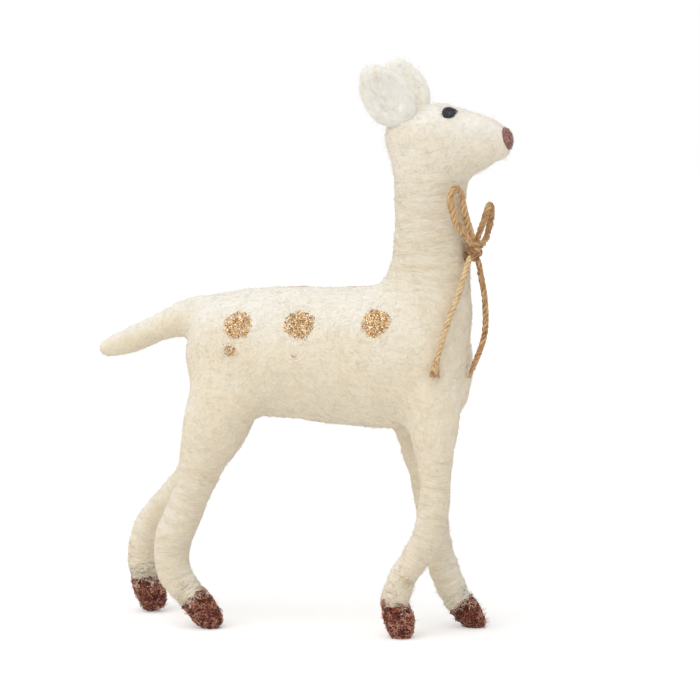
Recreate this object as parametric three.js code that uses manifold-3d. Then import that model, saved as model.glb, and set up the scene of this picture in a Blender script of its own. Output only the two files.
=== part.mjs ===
// A needle-felted deer ornament: cream wool over a wire armature, with a jute bow at the throat.
// Millimetres, +Z up. The nose points towards +X and the deer's left side is towards +Y.
// The origin is on the floor, below the middle of the deer's length.
import * as THREE from "three";
import { mergeVertices } from "three/addons/utils/BufferGeometryUtils.js";
import Module from "manifold-3d";

const wasm = await Module();
wasm.setup();

// Gaps and facets, shared by all pieces
const seatGap = 0.3; // between two pieces that meet
const weldDistance = 0.0001;
const sliverSize = 0.01; // narrower facets left by a cut are taken out
const trunkSides = 24;
const limbSides = 16;
const wireSides = 6;
const wireStep = 6; // length of one facet along the wire
const ringsPerSpan = 2;
const domeRings = 4;

// Trunk
const bellyHeight = 62.4; // floor to the lowest part of the belly
const trunkLength = 89; // rump to chest
const trunkDepth = 44.6; // at the chest, its deepest
const trunkWidth = 34;
const rumpRound = 8; // length of the rounded end
const chestRound = 11;
const coatThickness = 3.2; // fine wool over the coarse core
// Along the straight part, above the trunk's axis, deep and wide, as shares of trunk length, depth, depth and width
const trunkShares = [
  [0, 0.012, 0.8, 0.86],
  [0.139, 0.014, 0.87, 0.95],
  [0.347, 0.016, 0.91, 0.98],
  [0.611, 0.004, 0.95, 1],
  [0.833, 0.01, 1, 1],
  [1, 0.05, 1, 0.93],
];

// Neck
const neckSetback = 14.4; // chest to the neck's axis, at the neck's root
const neckRootRise = 8; // trunk's axis to the neck's root
const neckLength = 54;
const neckDepth = 22; // front to back where it is slimmest
const neckWidth = 20;
const neckRound = 5;
// Up the neck, forward, deep and wide, as shares of neck length, depth, depth and width
const neckShares = [
  [0, 0.005, 1.31, 1.38],
  [0.135, 0.01, 1.4, 1.42],
  [0.283, 0.06, 1.2, 1.2],
  [0.431, 0.095, 1.08, 1.1],
  [0.58, 0.1, 1.02, 1.03],
  [0.728, 0.09, 0.99, 1],
  [0.876, 0.088, 1.03, 1],
  [1, 0.07, 1.08, 1],
];

// Head
const headLength = 38.5;
const headDepth = 22.6;
const headWidth = 20;
const skullOverhang = 13.4; // back of the skull behind the neck's axis
const headLift = 5; // neck's top to the middle of the skull
const skullRound = 6.4;
const muzzleRound = 2.6;
const headSquareness = 2.3; // 2 is an ellipse
// Along the head, above its middle, deep and wide, as shares of head length, depth, depth and width
const headShares = [
  [0, 0, 0.84, 0.9],
  [0.25, -0.02, 1, 1],
  [0.5, -0.066, 0.99, 0.95],
  [0.72, -0.06, 0.83, 0.78],
  [0.875, -0.052, 0.64, 0.6],
  [1, -0.068, 0.42, 0.42],
];

// Nose and eyes
const noseRadius = 3.5; // of the round patch on the muzzle
const noseThickness = 0.8;
const noseLift = 1.6; // above the muzzle's middle
const noseInset = 1.6; // patch's middle behind the muzzle's tip
const eyeLength = 4.5;
const eyeHeight = 4.6;
const eyeThickness = 2.4;
const eyeAlongShare = 0.49; // along the head's straight part
const eyeClock = 54; // degrees above the head's side
const eyePitch = 20; // degrees that the eye slants down towards the nose

// Ears
const earLength = 22.3;
const earWidth = 15;
const earThickness = 4.4;
const earBaseRound = 1.6;
const earTipRound = 1.5;
const earSpread = 11.6; // between the two ears' roots
const earSetShare = 0.05; // along the head's straight part
const earRootRise = 5.3; // above the middle of the skull
const earSplay = 13; // degrees outwards
const rightEarLean = 37; // degrees that the ear leans back
const leftEarLean = 26;
const cupDepth = 2.3; // hollow in the ear's outer face
const cupLength = 14.4;
const cupWidth = 10.8;
const cupRise = 10.4; // ear's root to the cup's middle
// Up the ear, wide and thick, as shares of ear length, width and thickness
const earShares = [
  [0, 0.46, 0.95],
  [0.2, 0.88, 1],
  [0.45, 1, 1],
  [0.72, 0.87, 0.9],
  [1, 0.42, 0.62],
];

// Tail
const tailLength = 32;
const tailDrop = 11.6; // root to tip
const tailThickness = 12.8; // at the root
const tailRound = 2.7;
const tailInset = 5; // root inside the rump
const tailRootRise = 12.4; // above the trunk's axis
// Back along the tail, down and thick, as shares of tail length, drop and thickness
const tailShares = [
  [0, 0, 1.03],
  [0.185, 0.13, 0.96],
  [0.4, 0.37, 0.78],
  [0.677, 0.7, 0.67],
  [0.923, 0.95, 0.52],
  [1, 1.02, 0.43],
];

// Legs and hooves
const hipHeight = 72;
const hipSpread = 18; // between left and right
const hoofSpread = 22;
const shinThickness = 9.6;
const hipRound = 5;
const hipFlatness = 0.8; // thigh's width as a share of its depth at the hip, growing to 1 halfway down
const hoofThickness = 8.8;
const hoofTip = 7.6; // thickness near the tip
const hoofRound = 3.8; // length of the round tip
const soleFlat = 0.6; // felt pressed flat where the hoof stands
const hoofRoot = 2; // brown wool that starts inside the leg before it is cut back
// Setback of each hip from the rump, and reach of each hoof from the leg's end
const hindRightSet = 12;
const hindLeftSet = 13.5;
const frontRightSet = 79.5;
const frontLeftSet = 68.5;
const hindRightReach = 5.8;
const hindLeftReach = 3.6;
const frontRightReach = 2;
const frontLeftReach = 4.2;
// Down from the hip, forward of it and thick, as shares of hip height, hip height and shin thickness
const frontRightShares = [
  [0, 0, 1.88],
  [0.108, 0.007, 1.69],
  [0.208, 0.011, 1.31],
  [0.306, 0.014, 1.07],
  [0.397, 0.012, 1.01],
  [0.49, 0.001, 0.99],
  [0.578, -0.022, 0.96],
  [0.665, -0.074, 0.89],
  [0.739, -0.122, 0.87],
  [0.812, -0.148, 0.88],
  [0.852, -0.157, 0.84],
];
const frontLeftShares = [
  [0, 0, 1.82],
  [0.149, 0.023, 1.48],
  [0.301, 0.056, 1.08],
  [0.454, 0.084, 1],
  [0.585, 0.105, 0.97],
  [0.714, 0.134, 0.96],
  [0.802, 0.163, 0.96],
  [0.896, 0.211, 0.885],
];
const hindRightShares = [
  [0, 0.005, 2.12],
  [0.118, -0.034, 1.86],
  [0.292, -0.083, 1.37],
  [0.426, -0.122, 1.2],
  [0.541, -0.17, 1.22],
  [0.624, -0.203, 1.22],
  [0.696, -0.21, 1.16],
  [0.783, -0.187, 1.1],
  [0.872, -0.114, 0.94],
];
const hindLeftShares = [
  [0, -0.01, 1.95],
  [0.118, -0.054, 1.74],
  [0.25, -0.117, 1.42],
  [0.361, -0.197, 1.22],
  [0.444, -0.266, 1.16],
  [0.512, -0.34, 1.04],
  [0.574, -0.396, 1],
  [0.66, -0.441, 0.97],
  [0.767, -0.46, 0.95],
  [0.848, -0.454, 0.87],
];

// Armature
const wireDiameter = 1.4;
const spineRise = 4; // above the trunk's axis
const hindCrossing = 16; // rump to where the hind wire crosses the spine wire
const frontCrossing = 66;
const spineBend = 8; // from the last crossing to where the spine wire turns up
const spineBendRise = 6;
const headWireShare = 0.5; // how far along the head's straight part the spine wire ends
const skullWireShare = 0.35; // how far from the neck's top to that end the spine wire turns forward
const hoofWireShare = 0.45; // how far into the hoof a leg wire ends

// Glitter
const glitterThickness = 0.6;
const spotDiameter = 9.2;
const smudgeDiameter = 4.2;
const spotWaviness = 0.07; // as a share of the radius
const spotPoints = 22;
const spotLobes = 3;
// Along the trunk's straight part, degrees above its side, side (-1 right, 1 left) and stretch along the trunk
const spotShares = {
  glitter_spot_right_rear: [0.168, 28, -1, 1],
  glitter_spot_right_middle: [0.446, 31, -1, 1.04],
  glitter_spot_right_front: [0.796, 33, -1, 1.08],
  glitter_spot_left_rear: [0.14, 36, 1, 1],
  glitter_spot_left_middle: [0.4, 62, 1, 1.04],
  glitter_spot_left_front: [0.66, 62, 1, 1],
};
// The smudge lies on the trunk under the right rear spot
const smudgeAlongShare = 0.152;
const smudgeStretchShare = 0.9;
const smudgeGap = 0.15; // clear of the spot
const clockStep = 0.5; // degrees

// Bow
const twineDiameter = 1.8;
const twineSides = 8;
const twineStep = 3; // length of one facet along the twine
const knotHeight = 118.4; // floor to the knot's middle
const knotTurn = 17; // degrees round the neck from its front towards the right
const knotStandoff = 0.7; // between the neck and the knot's back, filled by the glue
const knotWrapRadius = 1.75; // middle of the twine in each wrap round the knot
const knotCoreLength = 7.4;
const knotCoreWidth = 4.2;
const knotWrapSlants = [52, -38, 8]; // degrees that each wrap leans from upright
const knotWrapRises = [0.6, -0.5, 1.9]; // of each wrap's middle above the knot's middle
const glueDiameter = 3.6;
// Routes of the free twine, measured from the knot's middle: two loops, then two ends
const loopRightRoute = [
  [-0.4, -1.7, 1.6],
  [-1.3, -3.4, 3.6],
  [-2.7, -5.5, 6.1],
  [-4, -7.4, 8.8],
  [-4.6, -8.7, 11.5],
  [-5.1, -9.5, 14.7],
  [-5.3, -9, 16.8],
  [-5.1, -7.5, 18.3],
  [-4.6, -5.6, 18.8],
  [-4, -3.7, 18.1],
  [-3.4, -2.6, 16.6],
  [-3, -2.2, 13.5],
  [-2.3, -1.9, 10.5],
  [-1.5, -1.4, 7.4],
  [-0.6, -0.9, 4.4],
  [0, -0.3, 2],
];
const loopLeftRoute = [
  [0.2, 0.7, 1.8],
  [1, 1.2, 4.1],
  [1.8, 2.1, 6.8],
  [2.4, 3.2, 8.9],
  [3, 4.6, 11.9],
  [3.2, 6.4, 13],
  [3.2, 8.6, 12.9],
  [3.1, 10.4, 11.6],
  [2.9, 11.2, 9.6],
  [2.7, 10.7, 7.7],
  [2.5, 9, 5.4],
  [2.4, 7.1, 3.6],
  [2, 4.9, 2.1],
  [1.4, 2.9, 1],
  [0.9, 1.5, 0.4],
];
const endRightRoute = [
  [-1, -0.7, -2],
  [-1.7, -2.2, -4.8],
  [-2.3, -3.8, -8],
  [-3.2, -5.2, -11.6],
  [-4.3, -6.8, -15.4],
  [-5.4, -8.2, -19],
  [-6.4, -9.5, -22.7],
  [-7.3, -10.7, -26.4],
  [-8, -11.5, -29.3],
  [-8.7, -12, -32.6],
  [-9.2, -12.4, -35.6],
  [-9.4, -12.6, -37.6],
];
const endLeftRoute = [
  [0.3, 1.2, -2.2],
  [1.1, 2, -4.5],
  [1.5, 2.8, -8.1],
  [2.1, 3.6, -11.9],
  [2.5, 4.2, -16],
  [2.7, 4.4, -20.7],
  [2.7, 3.8, -24.8],
  [2.1, 2.6, -28.4],
  [1.2, 1.8, -31.5],
  [0.1, 1, -34.5],
  [-0.8, 0, -37.1],
  [-1.2, -0.6, -38.7],
];

// Materials
const creamWool = new THREE.MeshStandardMaterial({ color: 0xeee7d8, roughness: 0.95, metalness: 0 });
const coreWool = new THREE.MeshStandardMaterial({ color: 0xd9ccb4, roughness: 1, metalness: 0 });
const brownWool = new THREE.MeshStandardMaterial({ color: 0x6d3a2c, roughness: 0.95, metalness: 0 });
const noseWool = new THREE.MeshStandardMaterial({ color: 0x6a3b39, roughness: 0.95, metalness: 0 });
const blackWool = new THREE.MeshStandardMaterial({ color: 0x24262e, roughness: 0.95, metalness: 0 });
const goldGlitter = new THREE.MeshStandardMaterial({ color: 0xb9935c, roughness: 0.3, metalness: 0.8 });
const jute = new THREE.MeshStandardMaterial({ color: 0xc79a68, roughness: 0.9, metalness: 0 });
const steel = new THREE.MeshStandardMaterial({ color: 0x9a9a98, roughness: 0.4, metalness: 1 });
const amberGlue = new THREE.MeshStandardMaterial({ color: 0x80603e, roughness: 0.35, metalness: 0 });

// Derived places
const trunkAxisHeight = bellyHeight + trunkDepth / 2;
const neckAxis = trunkLength - neckSetback + neckDepth * neckShares.at(-1)[1];
const noseTip = neckAxis - skullOverhang + headLength + seatGap + noseThickness;
const tailTip = tailInset - tailLength - tailRound;
const lengthMiddle = (noseTip + tailTip) / 2;

// A point given by its distance in front of the rump
function fromRump(forward, left, height) {
  return new THREE.Vector3(forward - lengthMiddle, left, height);
}

// Stations of a felted form, each with its middle and its full size across
function trunkStations() {
  const straight = trunkLength - rumpRound - chestRound;
  return trunkShares.map(([along, rise, deep, wide]) => ({
    middle: fromRump(rumpRound + along * straight, 0, trunkAxisHeight + rise * trunkDepth),
    deep: deep * trunkDepth,
    wide: wide * trunkWidth,
  }));
}

function neckStations() {
  const root = fromRump(trunkLength - neckSetback, 0, trunkAxisHeight + neckRootRise);
  return neckShares.map(([up, forward, deep, wide]) => ({
    middle: root.clone().add(new THREE.Vector3(forward * neckDepth, 0, up * neckLength)),
    deep: deep * neckDepth,
    wide: wide * neckWidth,
  }));
}

function headStations() {
  const neckTop = neckStations().at(-1).middle;
  const straight = headLength - skullRound - muzzleRound;
  return headShares.map(([along, rise, deep, wide]) => ({
    middle: new THREE.Vector3(
      neckTop.x - skullOverhang + skullRound + along * straight,
      0,
      neckTop.z + headLift + rise * headDepth,
    ),
    deep: deep * headDepth,
    wide: wide * headWidth,
  }));
}

function tailStations() {
  return tailShares.map(([back, drop, thick]) => ({
    middle: fromRump(tailInset - back * tailLength, 0, trunkAxisHeight + tailRootRise - drop * tailDrop),
    deep: thick * tailThickness,
    wide: thick * tailThickness,
  }));
}

function legStations({ set, side, shares }) {
  return shares.map(([down, forward, thick]) => {
    const spread = THREE.MathUtils.lerp(hipSpread, hoofSpread, down) / 2;
    const flatness = Math.min(1, THREE.MathUtils.lerp(hipFlatness, 1, 2 * down));
    return {
      middle: fromRump(set + forward * hipHeight, side * spread, hipHeight * (1 - down)),
      deep: thick * shinThickness,
      wide: thick * shinThickness * flatness,
    };
  });
}

// The hoof runs on from the leg's end to a round tip that stands on the floor
function hoofStations(leg) {
  const stations = legStations(leg);
  const end = stations.at(-1);
  const onward = end.middle.clone().sub(stations.at(-2).middle).normalize();
  const slant = Math.atan2(leg.reach, end.middle.z - hoofTip / 2);
  const tipHeight = Math.hypot(hoofRound * Math.cos(slant), (hoofTip / 2) * Math.sin(slant));
  const tip = new THREE.Vector3(
    end.middle.x + leg.reach,
    (leg.side * hoofSpread) / 2,
    tipHeight - soleFlat,
  );
  const middle = end.middle.clone().lerp(tip, 0.5);
  return [
    { middle: end.middle.clone().addScaledVector(onward, -hoofRoot), deep: end.deep, wide: end.wide },
    { middle, deep: hoofThickness, wide: hoofThickness },
    { middle: tip, deep: hoofTip, wide: hoofTip },
  ];
}

// A closed sweep along the stations. Its section is an ellipse, or squarer, with domed or flat ends.
function sweep(stations, { sides = limbSides, grow = 0, startRound = 0, endRound = 0, squareness = 2 } = {}) {
  const path = new THREE.CatmullRomCurve3(stations.map((s) => s.middle));
  const sizes = new THREE.CatmullRomCurve3(stations.map((s) => new THREE.Vector3(s.deep, s.wide, 0)));
  const spans = (stations.length - 1) * ringsPerSpan;
  const rings = [];
  const addRing = (share, shift, scale) => {
    const ahead = path.getTangent(share);
    const side = new THREE.Vector3(0, 1, 0).addScaledVector(ahead, -ahead.y).normalize();
    const size = sizes.getPoint(share);
    rings.push({
      middle: path.getPoint(share).addScaledVector(ahead, shift),
      side: side.clone().multiplyScalar((size.y / 2 + grow) * scale),
      lift: ahead.cross(side).multiplyScalar((size.x / 2 + grow) * scale),
    });
  };
  for (let k = domeRings - 1; k > 0; k--) {
    const turn = (k / domeRings) * (Math.PI / 2);
    if (startRound) addRing(0, -(startRound + grow) * Math.sin(turn), Math.cos(turn));
  }
  for (let k = 0; k <= spans; k++) {
    const flatEnd = (k === 0 && !startRound ? -grow : 0) + (k === spans && !endRound ? grow : 0);
    addRing(k / spans, flatEnd, 1);
  }
  for (let k = 1; k < domeRings; k++) {
    const turn = (k / domeRings) * (Math.PI / 2);
    if (endRound) addRing(1, (endRound + grow) * Math.sin(turn), Math.cos(turn));
  }
  const startPole = path.getPoint(0).addScaledVector(path.getTangent(0), -(startRound + grow));
  const endPole = path.getPoint(1).addScaledVector(path.getTangent(1), endRound + grow);
  return closedSurface(rings, sides, squareness, startPole, endPole);
}

// Rings of points joined into one surface that ends in two poles
function closedSurface(rings, sides, squareness, startPole, endPole) {
  const places = [];
  const faces = [];
  const bulge = (x) => Math.sign(x) * Math.abs(x) ** (2 / squareness);
  for (const ring of rings) {
    for (let j = 0; j < sides; j++) {
      const turn = (j / sides) * 2 * Math.PI;
      const point = ring.middle
        .clone()
        .addScaledVector(ring.side, bulge(Math.cos(turn)))
        .addScaledVector(ring.lift, bulge(Math.sin(turn)));
      places.push(point.x, point.y, point.z);
    }
  }
  places.push(...startPole.toArray(), ...endPole.toArray());
  const first = rings.length * sides;
  for (let j = 0; j < sides; j++) {
    const next = (j + 1) % sides;
    faces.push(first, next, j);
    for (let i = 0; i + 1 < rings.length; i++) {
      const here = i * sides;
      faces.push(here + j, here + next, here + sides + next);
      faces.push(here + j, here + sides + next, here + sides + j);
    }
    const last = (rings.length - 1) * sides;
    faces.push(first + 1, last + j, last + next);
  }
  const geometry = new THREE.BufferGeometry();
  geometry.setAttribute("position", new THREE.Float32BufferAttribute(places, 3));
  geometry.setIndex(faces);
  return geometry;
}

// A round bar along a route; growing it also lengthens it
function tube(points, diameter, sides, step, grow = 0) {
  const route = points.map((p) => p.clone());
  const lengthen = (end, inner) => {
    const outward = end.clone().sub(inner).normalize();
    end.addScaledVector(outward, grow);
  };
  lengthen(route[0], points[1]);
  lengthen(route.at(-1), points.at(-2));
  const path = new THREE.CatmullRomCurve3(route);
  const section = new THREE.Shape();
  section.absarc(0, 0, diameter / 2 + grow, 0, 2 * Math.PI, false);
  const geometry = new THREE.ExtrudeGeometry(section, {
    curveSegments: sides / 2,
    steps: Math.ceil(path.getLength() / step),
    bevelEnabled: false,
    extrudePath: path,
  });
  return solid(geometry);
}

// A geometry as a solid that can be joined and cut
function solid(geometry) {
  geometry.deleteAttribute("normal");
  geometry.deleteAttribute("uv");
  const welded = mergeVertices(geometry, weldDistance);
  return new wasm.Manifold(
    new wasm.Mesh({
      numProp: 3,
      vertProperties: welded.attributes.position.array,
      triVerts: welded.index.array,
    }),
  );
}

function without(body, cutters) {
  return cutters.reduce((left, cutter) => left.subtract(cutter), body);
}

function piece(name, body, material) {
  const cut = body.simplify(sliverSize).getMesh();
  const places = new Float32Array(cut.numVert * 3);
  for (let i = 0; i < cut.numVert; i++) {
    places.set(cut.vertProperties.subarray(i * cut.numProp, i * cut.numProp + 3), i * 3);
  }
  const geometry = new THREE.BufferGeometry();
  geometry.setAttribute("position", new THREE.BufferAttribute(places, 3));
  geometry.setIndex(new THREE.BufferAttribute(cut.triVerts, 1));
  geometry.computeVertexNormals();
  const mesh = new THREE.Mesh(geometry, material);
  mesh.name = name;
  return mesh;
}

// The large forms, grown by a gap where they cut their neighbours
const trunkForm = (grow = 0) =>
  solid(
    sweep(trunkStations(), { sides: trunkSides, grow, startRound: rumpRound, endRound: chestRound }),
  );
const neckForm = (grow = 0) =>
  solid(
    sweep(neckStations(), { sides: trunkSides, grow, startRound: neckRound, endRound: neckRound }),
  );
const headForm = (grow = 0) =>
  solid(
    sweep(headStations(), {
      sides: trunkSides,
      grow,
      startRound: skullRound,
      endRound: muzzleRound,
      squareness: headSquareness,
    }),
  );
const legForm = (leg, grow = 0) => solid(sweep(legStations(leg), { grow, startRound: hipRound }));

const legs = {
  front_leg_right: {
    hoof: "front_hoof_right",
    set: frontRightSet,
    side: -1,
    reach: frontRightReach,
    shares: frontRightShares,
  },
  front_leg_left: {
    hoof: "front_hoof_left",
    set: frontLeftSet,
    side: 1,
    reach: frontLeftReach,
    shares: frontLeftShares,
  },
  hind_leg_right: {
    hoof: "hind_hoof_right",
    set: hindRightSet,
    side: -1,
    reach: hindRightReach,
    shares: hindRightShares,
  },
  hind_leg_left: {
    hoof: "hind_hoof_left",
    set: hindLeftSet,
    side: 1,
    reach: hindLeftReach,
    shares: hindLeftShares,
  },
};

// Armature: one spine wire from the tail to the head, and a bent wire through each pair of legs
const spineHeight = trunkAxisHeight + spineRise;

function wireForm(points, grow = 0) {
  return tube(points, wireDiameter, wireSides, wireStep, grow);
}

function spinePoints() {
  const tail = tailStations().slice(1, -1).reverse();
  const neck = neckStations().slice(2, -1);
  const neckTop = neckStations().at(-1).middle;
  const skull = headStations();
  const headEnd = skull[0].middle.clone().lerp(skull.at(-1).middle, headWireShare);
  const turn = fromRump(frontCrossing + spineBend, 0, spineHeight + spineBendRise);
  return [
    ...tail.map((s) => s.middle),
    fromRump(hindCrossing, 0, spineHeight),
    fromRump((hindCrossing + frontCrossing) / 2, 0, spineHeight),
    fromRump(frontCrossing, 0, spineHeight),
    turn,
    ...neck.map((s) => s.middle),
    neckTop.clone().lerp(headEnd, skullWireShare).setZ(neckTop.z + headLift / 2),
    headEnd,
  ];
}

// From one hoof up its leg, under the spine wire, and down the other leg
function legWirePoints(right, left, crossing) {
  const up = (leg) => [
    hoofStations(leg)[1].middle.clone().lerp(legStations(leg).at(-1).middle, 1 - 2 * hoofWireShare),
    ...legStations(leg)
      .map((s) => s.middle)
      .reverse(),
  ];
  const under = fromRump(crossing, 0, spineHeight - wireDiameter - seatGap);
  return [...up(right), under, ...up(left).reverse()];
}

const frontWirePoints = legWirePoints(legs.front_leg_right, legs.front_leg_left, frontCrossing);
const hindWirePoints = legWirePoints(legs.hind_leg_right, legs.hind_leg_left, hindCrossing);
const channels = [spinePoints(), frontWirePoints, hindWirePoints].map((p) => wireForm(p, seatGap));

// The trunk is a coarse core inside a coat of fine wool
function trunkPieces() {
  const core = trunkForm(-coatThickness);
  const coat = trunkForm().subtract(trunkForm(seatGap - coatThickness));
  return [
    piece("trunk_coat", without(coat, channels), creamWool),
    piece("trunk_core", without(core, channels), coreWool),
  ];
}

function neckAndHead() {
  const neck = without(neckForm(), [trunkForm(seatGap), headForm(seatGap), channels[0]]);
  return [
    piece("neck", neck, creamWool),
    piece("head", headForm().subtract(channels[0]), creamWool),
  ];
}

function tailPiece() {
  const tail = solid(sweep(tailStations(), { endRound: tailRound }));
  return piece("tail", without(tail, [trunkForm(seatGap), channels[0]]), creamWool);
}

// A leg's wool is wound on its wire, and brown wool is felted round the wire's end as a hoof
function legPieces(name, leg) {
  const below = solid(
    new THREE.BoxGeometry(trunkLength * 2, trunkLength, hoofThickness).translate(
      0,
      0,
      -hoofThickness / 2,
    ),
  );
  const otherSide = solid(
    new THREE.BoxGeometry(trunkLength * 2, trunkLength, hipHeight * 3).translate(
      0,
      (-leg.side * (trunkLength - seatGap)) / 2,
      0,
    ),
  );
  const wool = without(legForm(leg), [trunkForm(seatGap), otherSide, ...channels]);
  const hoof = solid(sweep(hoofStations(leg), { endRound: hoofRound }));
  return [
    piece(name, wool, creamWool),
    piece(leg.hoof, without(hoof, [legForm(leg, seatGap), below, ...channels]), brownWool),
  ];
}

// Each ear is a leaf with a cupped outer face
function earPiece(name, side, lean) {
  const straight = earLength - earBaseRound - earTipRound;
  const stations = earShares.map(([up, wide, thick]) => ({
    middle: new THREE.Vector3(0, 0, up * straight),
    deep: wide * earWidth,
    wide: thick * earThickness,
  }));
  const cup = new THREE.SphereGeometry(1, limbSides, domeRings * 2)
    .scale(cupWidth / 2, cupDepth, cupLength / 2)
    .translate(0, (side * earThickness) / 2, cupRise);
  const leaf = sweep(stations, { startRound: earBaseRound, endRound: earTipRound });
  const skull = headStations()[0].middle;
  const straightHead = headLength - skullRound - muzzleRound;
  const place = new THREE.Matrix4()
    .makeRotationFromEuler(
      new THREE.Euler(
        THREE.MathUtils.degToRad(-side * earSplay),
        THREE.MathUtils.degToRad(-lean),
        0,
        "YXZ",
      ),
    )
    .setPosition(skull.x + earSetShare * straightHead, (side * earSpread) / 2, skull.z + earRootRise);
  const ear = solid(leaf.applyMatrix4(place)).subtract(solid(cup.applyMatrix4(place)));
  return piece(name, ear.subtract(headForm(seatGap)), creamWool);
}

// Where a form passes a given X or Z, with its size there
function crossing(stations, axis, target) {
  const path = new THREE.CatmullRomCurve3(stations.map((s) => s.middle));
  const sizes = new THREE.CatmullRomCurve3(stations.map((s) => new THREE.Vector3(s.deep, s.wide, 0)));
  let low = 0;
  let high = 1;
  while (high - low > weldDistance) {
    const mid = (low + high) / 2;
    if (path.getPoint(mid)[axis] < target) low = mid;
    else high = mid;
  }
  return { middle: path.getPoint(low), size: sizes.getPoint(low) };
}

// A point on a level form's surface at an angle above its side, with the direction out of it
function onSurface(stations, share, clock, side, squareness = 2) {
  const target = THREE.MathUtils.lerp(stations[0].middle.x, stations.at(-1).middle.x, share);
  const { middle, size } = crossing(stations, "x", target);
  const turn = THREE.MathUtils.degToRad(clock);
  const across = Math.cos(turn) ** (2 / squareness);
  const above = Math.sin(turn) ** (2 / squareness);
  const slopeAcross = across ** (squareness - 1) / size.y;
  const slopeAbove = above ** (squareness - 1) / size.x;
  const shift = new THREE.Vector3(0, (side * across * size.y) / 2, (above * size.x) / 2);
  return {
    point: middle.add(shift),
    outward: new THREE.Vector3(0, side * slopeAcross, slopeAbove).normalize(),
  };
}

// Turns +Z to a direction, with X kept level
function facing(outward, position) {
  const level = new THREE.Vector3(1, 0, 0).addScaledVector(outward, -outward.x).normalize();
  const third = outward.clone().cross(level);
  return new THREE.Matrix4().makeBasis(level, third, outward).setPosition(position);
}

function facePieces() {
  const skull = headStations();
  const muzzle = skull.at(-1).middle;
  const muzzleTip = muzzle.x + muzzleRound;
  const patch = new THREE.SphereGeometry(noseRadius, limbSides, domeRings * 2).translate(
    muzzleTip - noseInset,
    0,
    muzzle.z + noseLift,
  );
  const nose = headForm(seatGap + noseThickness).intersect(solid(patch)).subtract(headForm(seatGap));
  const eyes = [-1, 1].map((side) => {
    const { point, outward } = onSurface(skull, eyeAlongShare, eyeClock, side, headSquareness);
    const ball = new THREE.SphereGeometry(1, limbSides, domeRings * 2)
      .scale(eyeLength / 2, eyeHeight / 2, eyeThickness / 2)
      .rotateZ(THREE.MathUtils.degToRad(side * eyePitch))
      .applyMatrix4(facing(outward, point));
    return solid(ball).subtract(headForm(seatGap));
  });
  return [
    piece("nose", nose, noseWool),
    piece("eye_right", eyes[0], blackWool),
    piece("eye_left", eyes[1], blackWool),
  ];
}

// Glitter glue dabbed on the flanks
function glitterPiece(name, [share, clock, side, stretch]) {
  const diameter = name.includes("smudge") ? smudgeDiameter : spotDiameter;
  const outline = new THREE.Shape();
  for (let k = 0; k < spotPoints; k++) {
    const turn = (k / spotPoints) * 2 * Math.PI;
    const radius = (diameter / 2) * (1 + spotWaviness * Math.sin(spotLobes * turn + clock));
    const x = stretch * radius * Math.cos(turn);
    const y = radius * Math.sin(turn);
    if (k) outline.lineTo(x, y);
    else outline.moveTo(x, y);
  }
  const { point, outward } = onSurface(trunkStations(), share, clock, side);
  const blank = new THREE.ExtrudeGeometry(outline, { depth: spotDiameter, bevelEnabled: false })
    .translate(0, 0, -spotDiameter / 2)
    .applyMatrix4(facing(outward, point));
  const skin = trunkForm(seatGap + glitterThickness).subtract(trunkForm(seatGap));
  return piece(name, skin.intersect(solid(blank)), goldGlitter);
}

// Down the trunk's side from the right rear spot, until the smudge is clear of it
function smudgePlace() {
  const [share, clock, side] = spotShares.glitter_spot_right_rear;
  const spot = onSurface(trunkStations(), share, clock, side).point;
  const reach = ((1 + spotWaviness) * (spotDiameter + smudgeDiameter)) / 2 + smudgeGap;
  let under = clock;
  while (onSurface(trunkStations(), smudgeAlongShare, under, side).point.distanceTo(spot) < reach) {
    under -= clockStep;
  }
  return [smudgeAlongShare, under, side, smudgeStretchShare];
}

// The knot: a short core with three wraps of twine, glued to the front of the neck
function knotFrame() {
  const { middle, size } = crossing(neckStations(), "z", knotHeight);
  const turn = THREE.MathUtils.degToRad(knotTurn);
  const forward = Math.cos(turn) * (size.x / 2);
  const across = -Math.sin(turn) * (size.y / 2);
  const outward = new THREE.Vector3(forward / size.x ** 2, across / size.y ** 2, 0).normalize();
  const standoff = knotStandoff + knotWrapRadius + twineDiameter / 2;
  middle.add(new THREE.Vector3(forward, across, 0)).addScaledVector(outward, standoff);
  return { middle, outward };
}

function knotForm(grow = 0) {
  const { middle, outward } = knotFrame();
  const across = new THREE.Vector3(0, 0, 1).cross(outward);
  const place = new THREE.Matrix4()
    .makeBasis(outward, across, new THREE.Vector3(0, 0, 1))
    .setPosition(middle);
  const core = new THREE.SphereGeometry(1, limbSides, domeRings * 2)
    .scale(knotCoreWidth / 2 + grow, knotCoreWidth / 2 + grow, knotCoreLength / 2 + grow)
    .applyMatrix4(place);
  const wraps = knotWrapSlants.map((slant, i) =>
    new THREE.TorusGeometry(knotWrapRadius, twineDiameter / 2 + grow, twineSides, limbSides)
      .rotateX(THREE.MathUtils.degToRad(slant))
      .translate(0, 0, knotWrapRises[i])
      .applyMatrix4(place),
  );
  return wraps.reduce((joined, wrap) => joined.add(solid(wrap)), solid(core));
}

function twineForm(route, cutters) {
  const points = route.map((p) => new THREE.Vector3(...p).add(knotFrame().middle));
  return largest(without(tube(points, twineDiameter, twineSides, twineStep), cutters));
}

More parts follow.
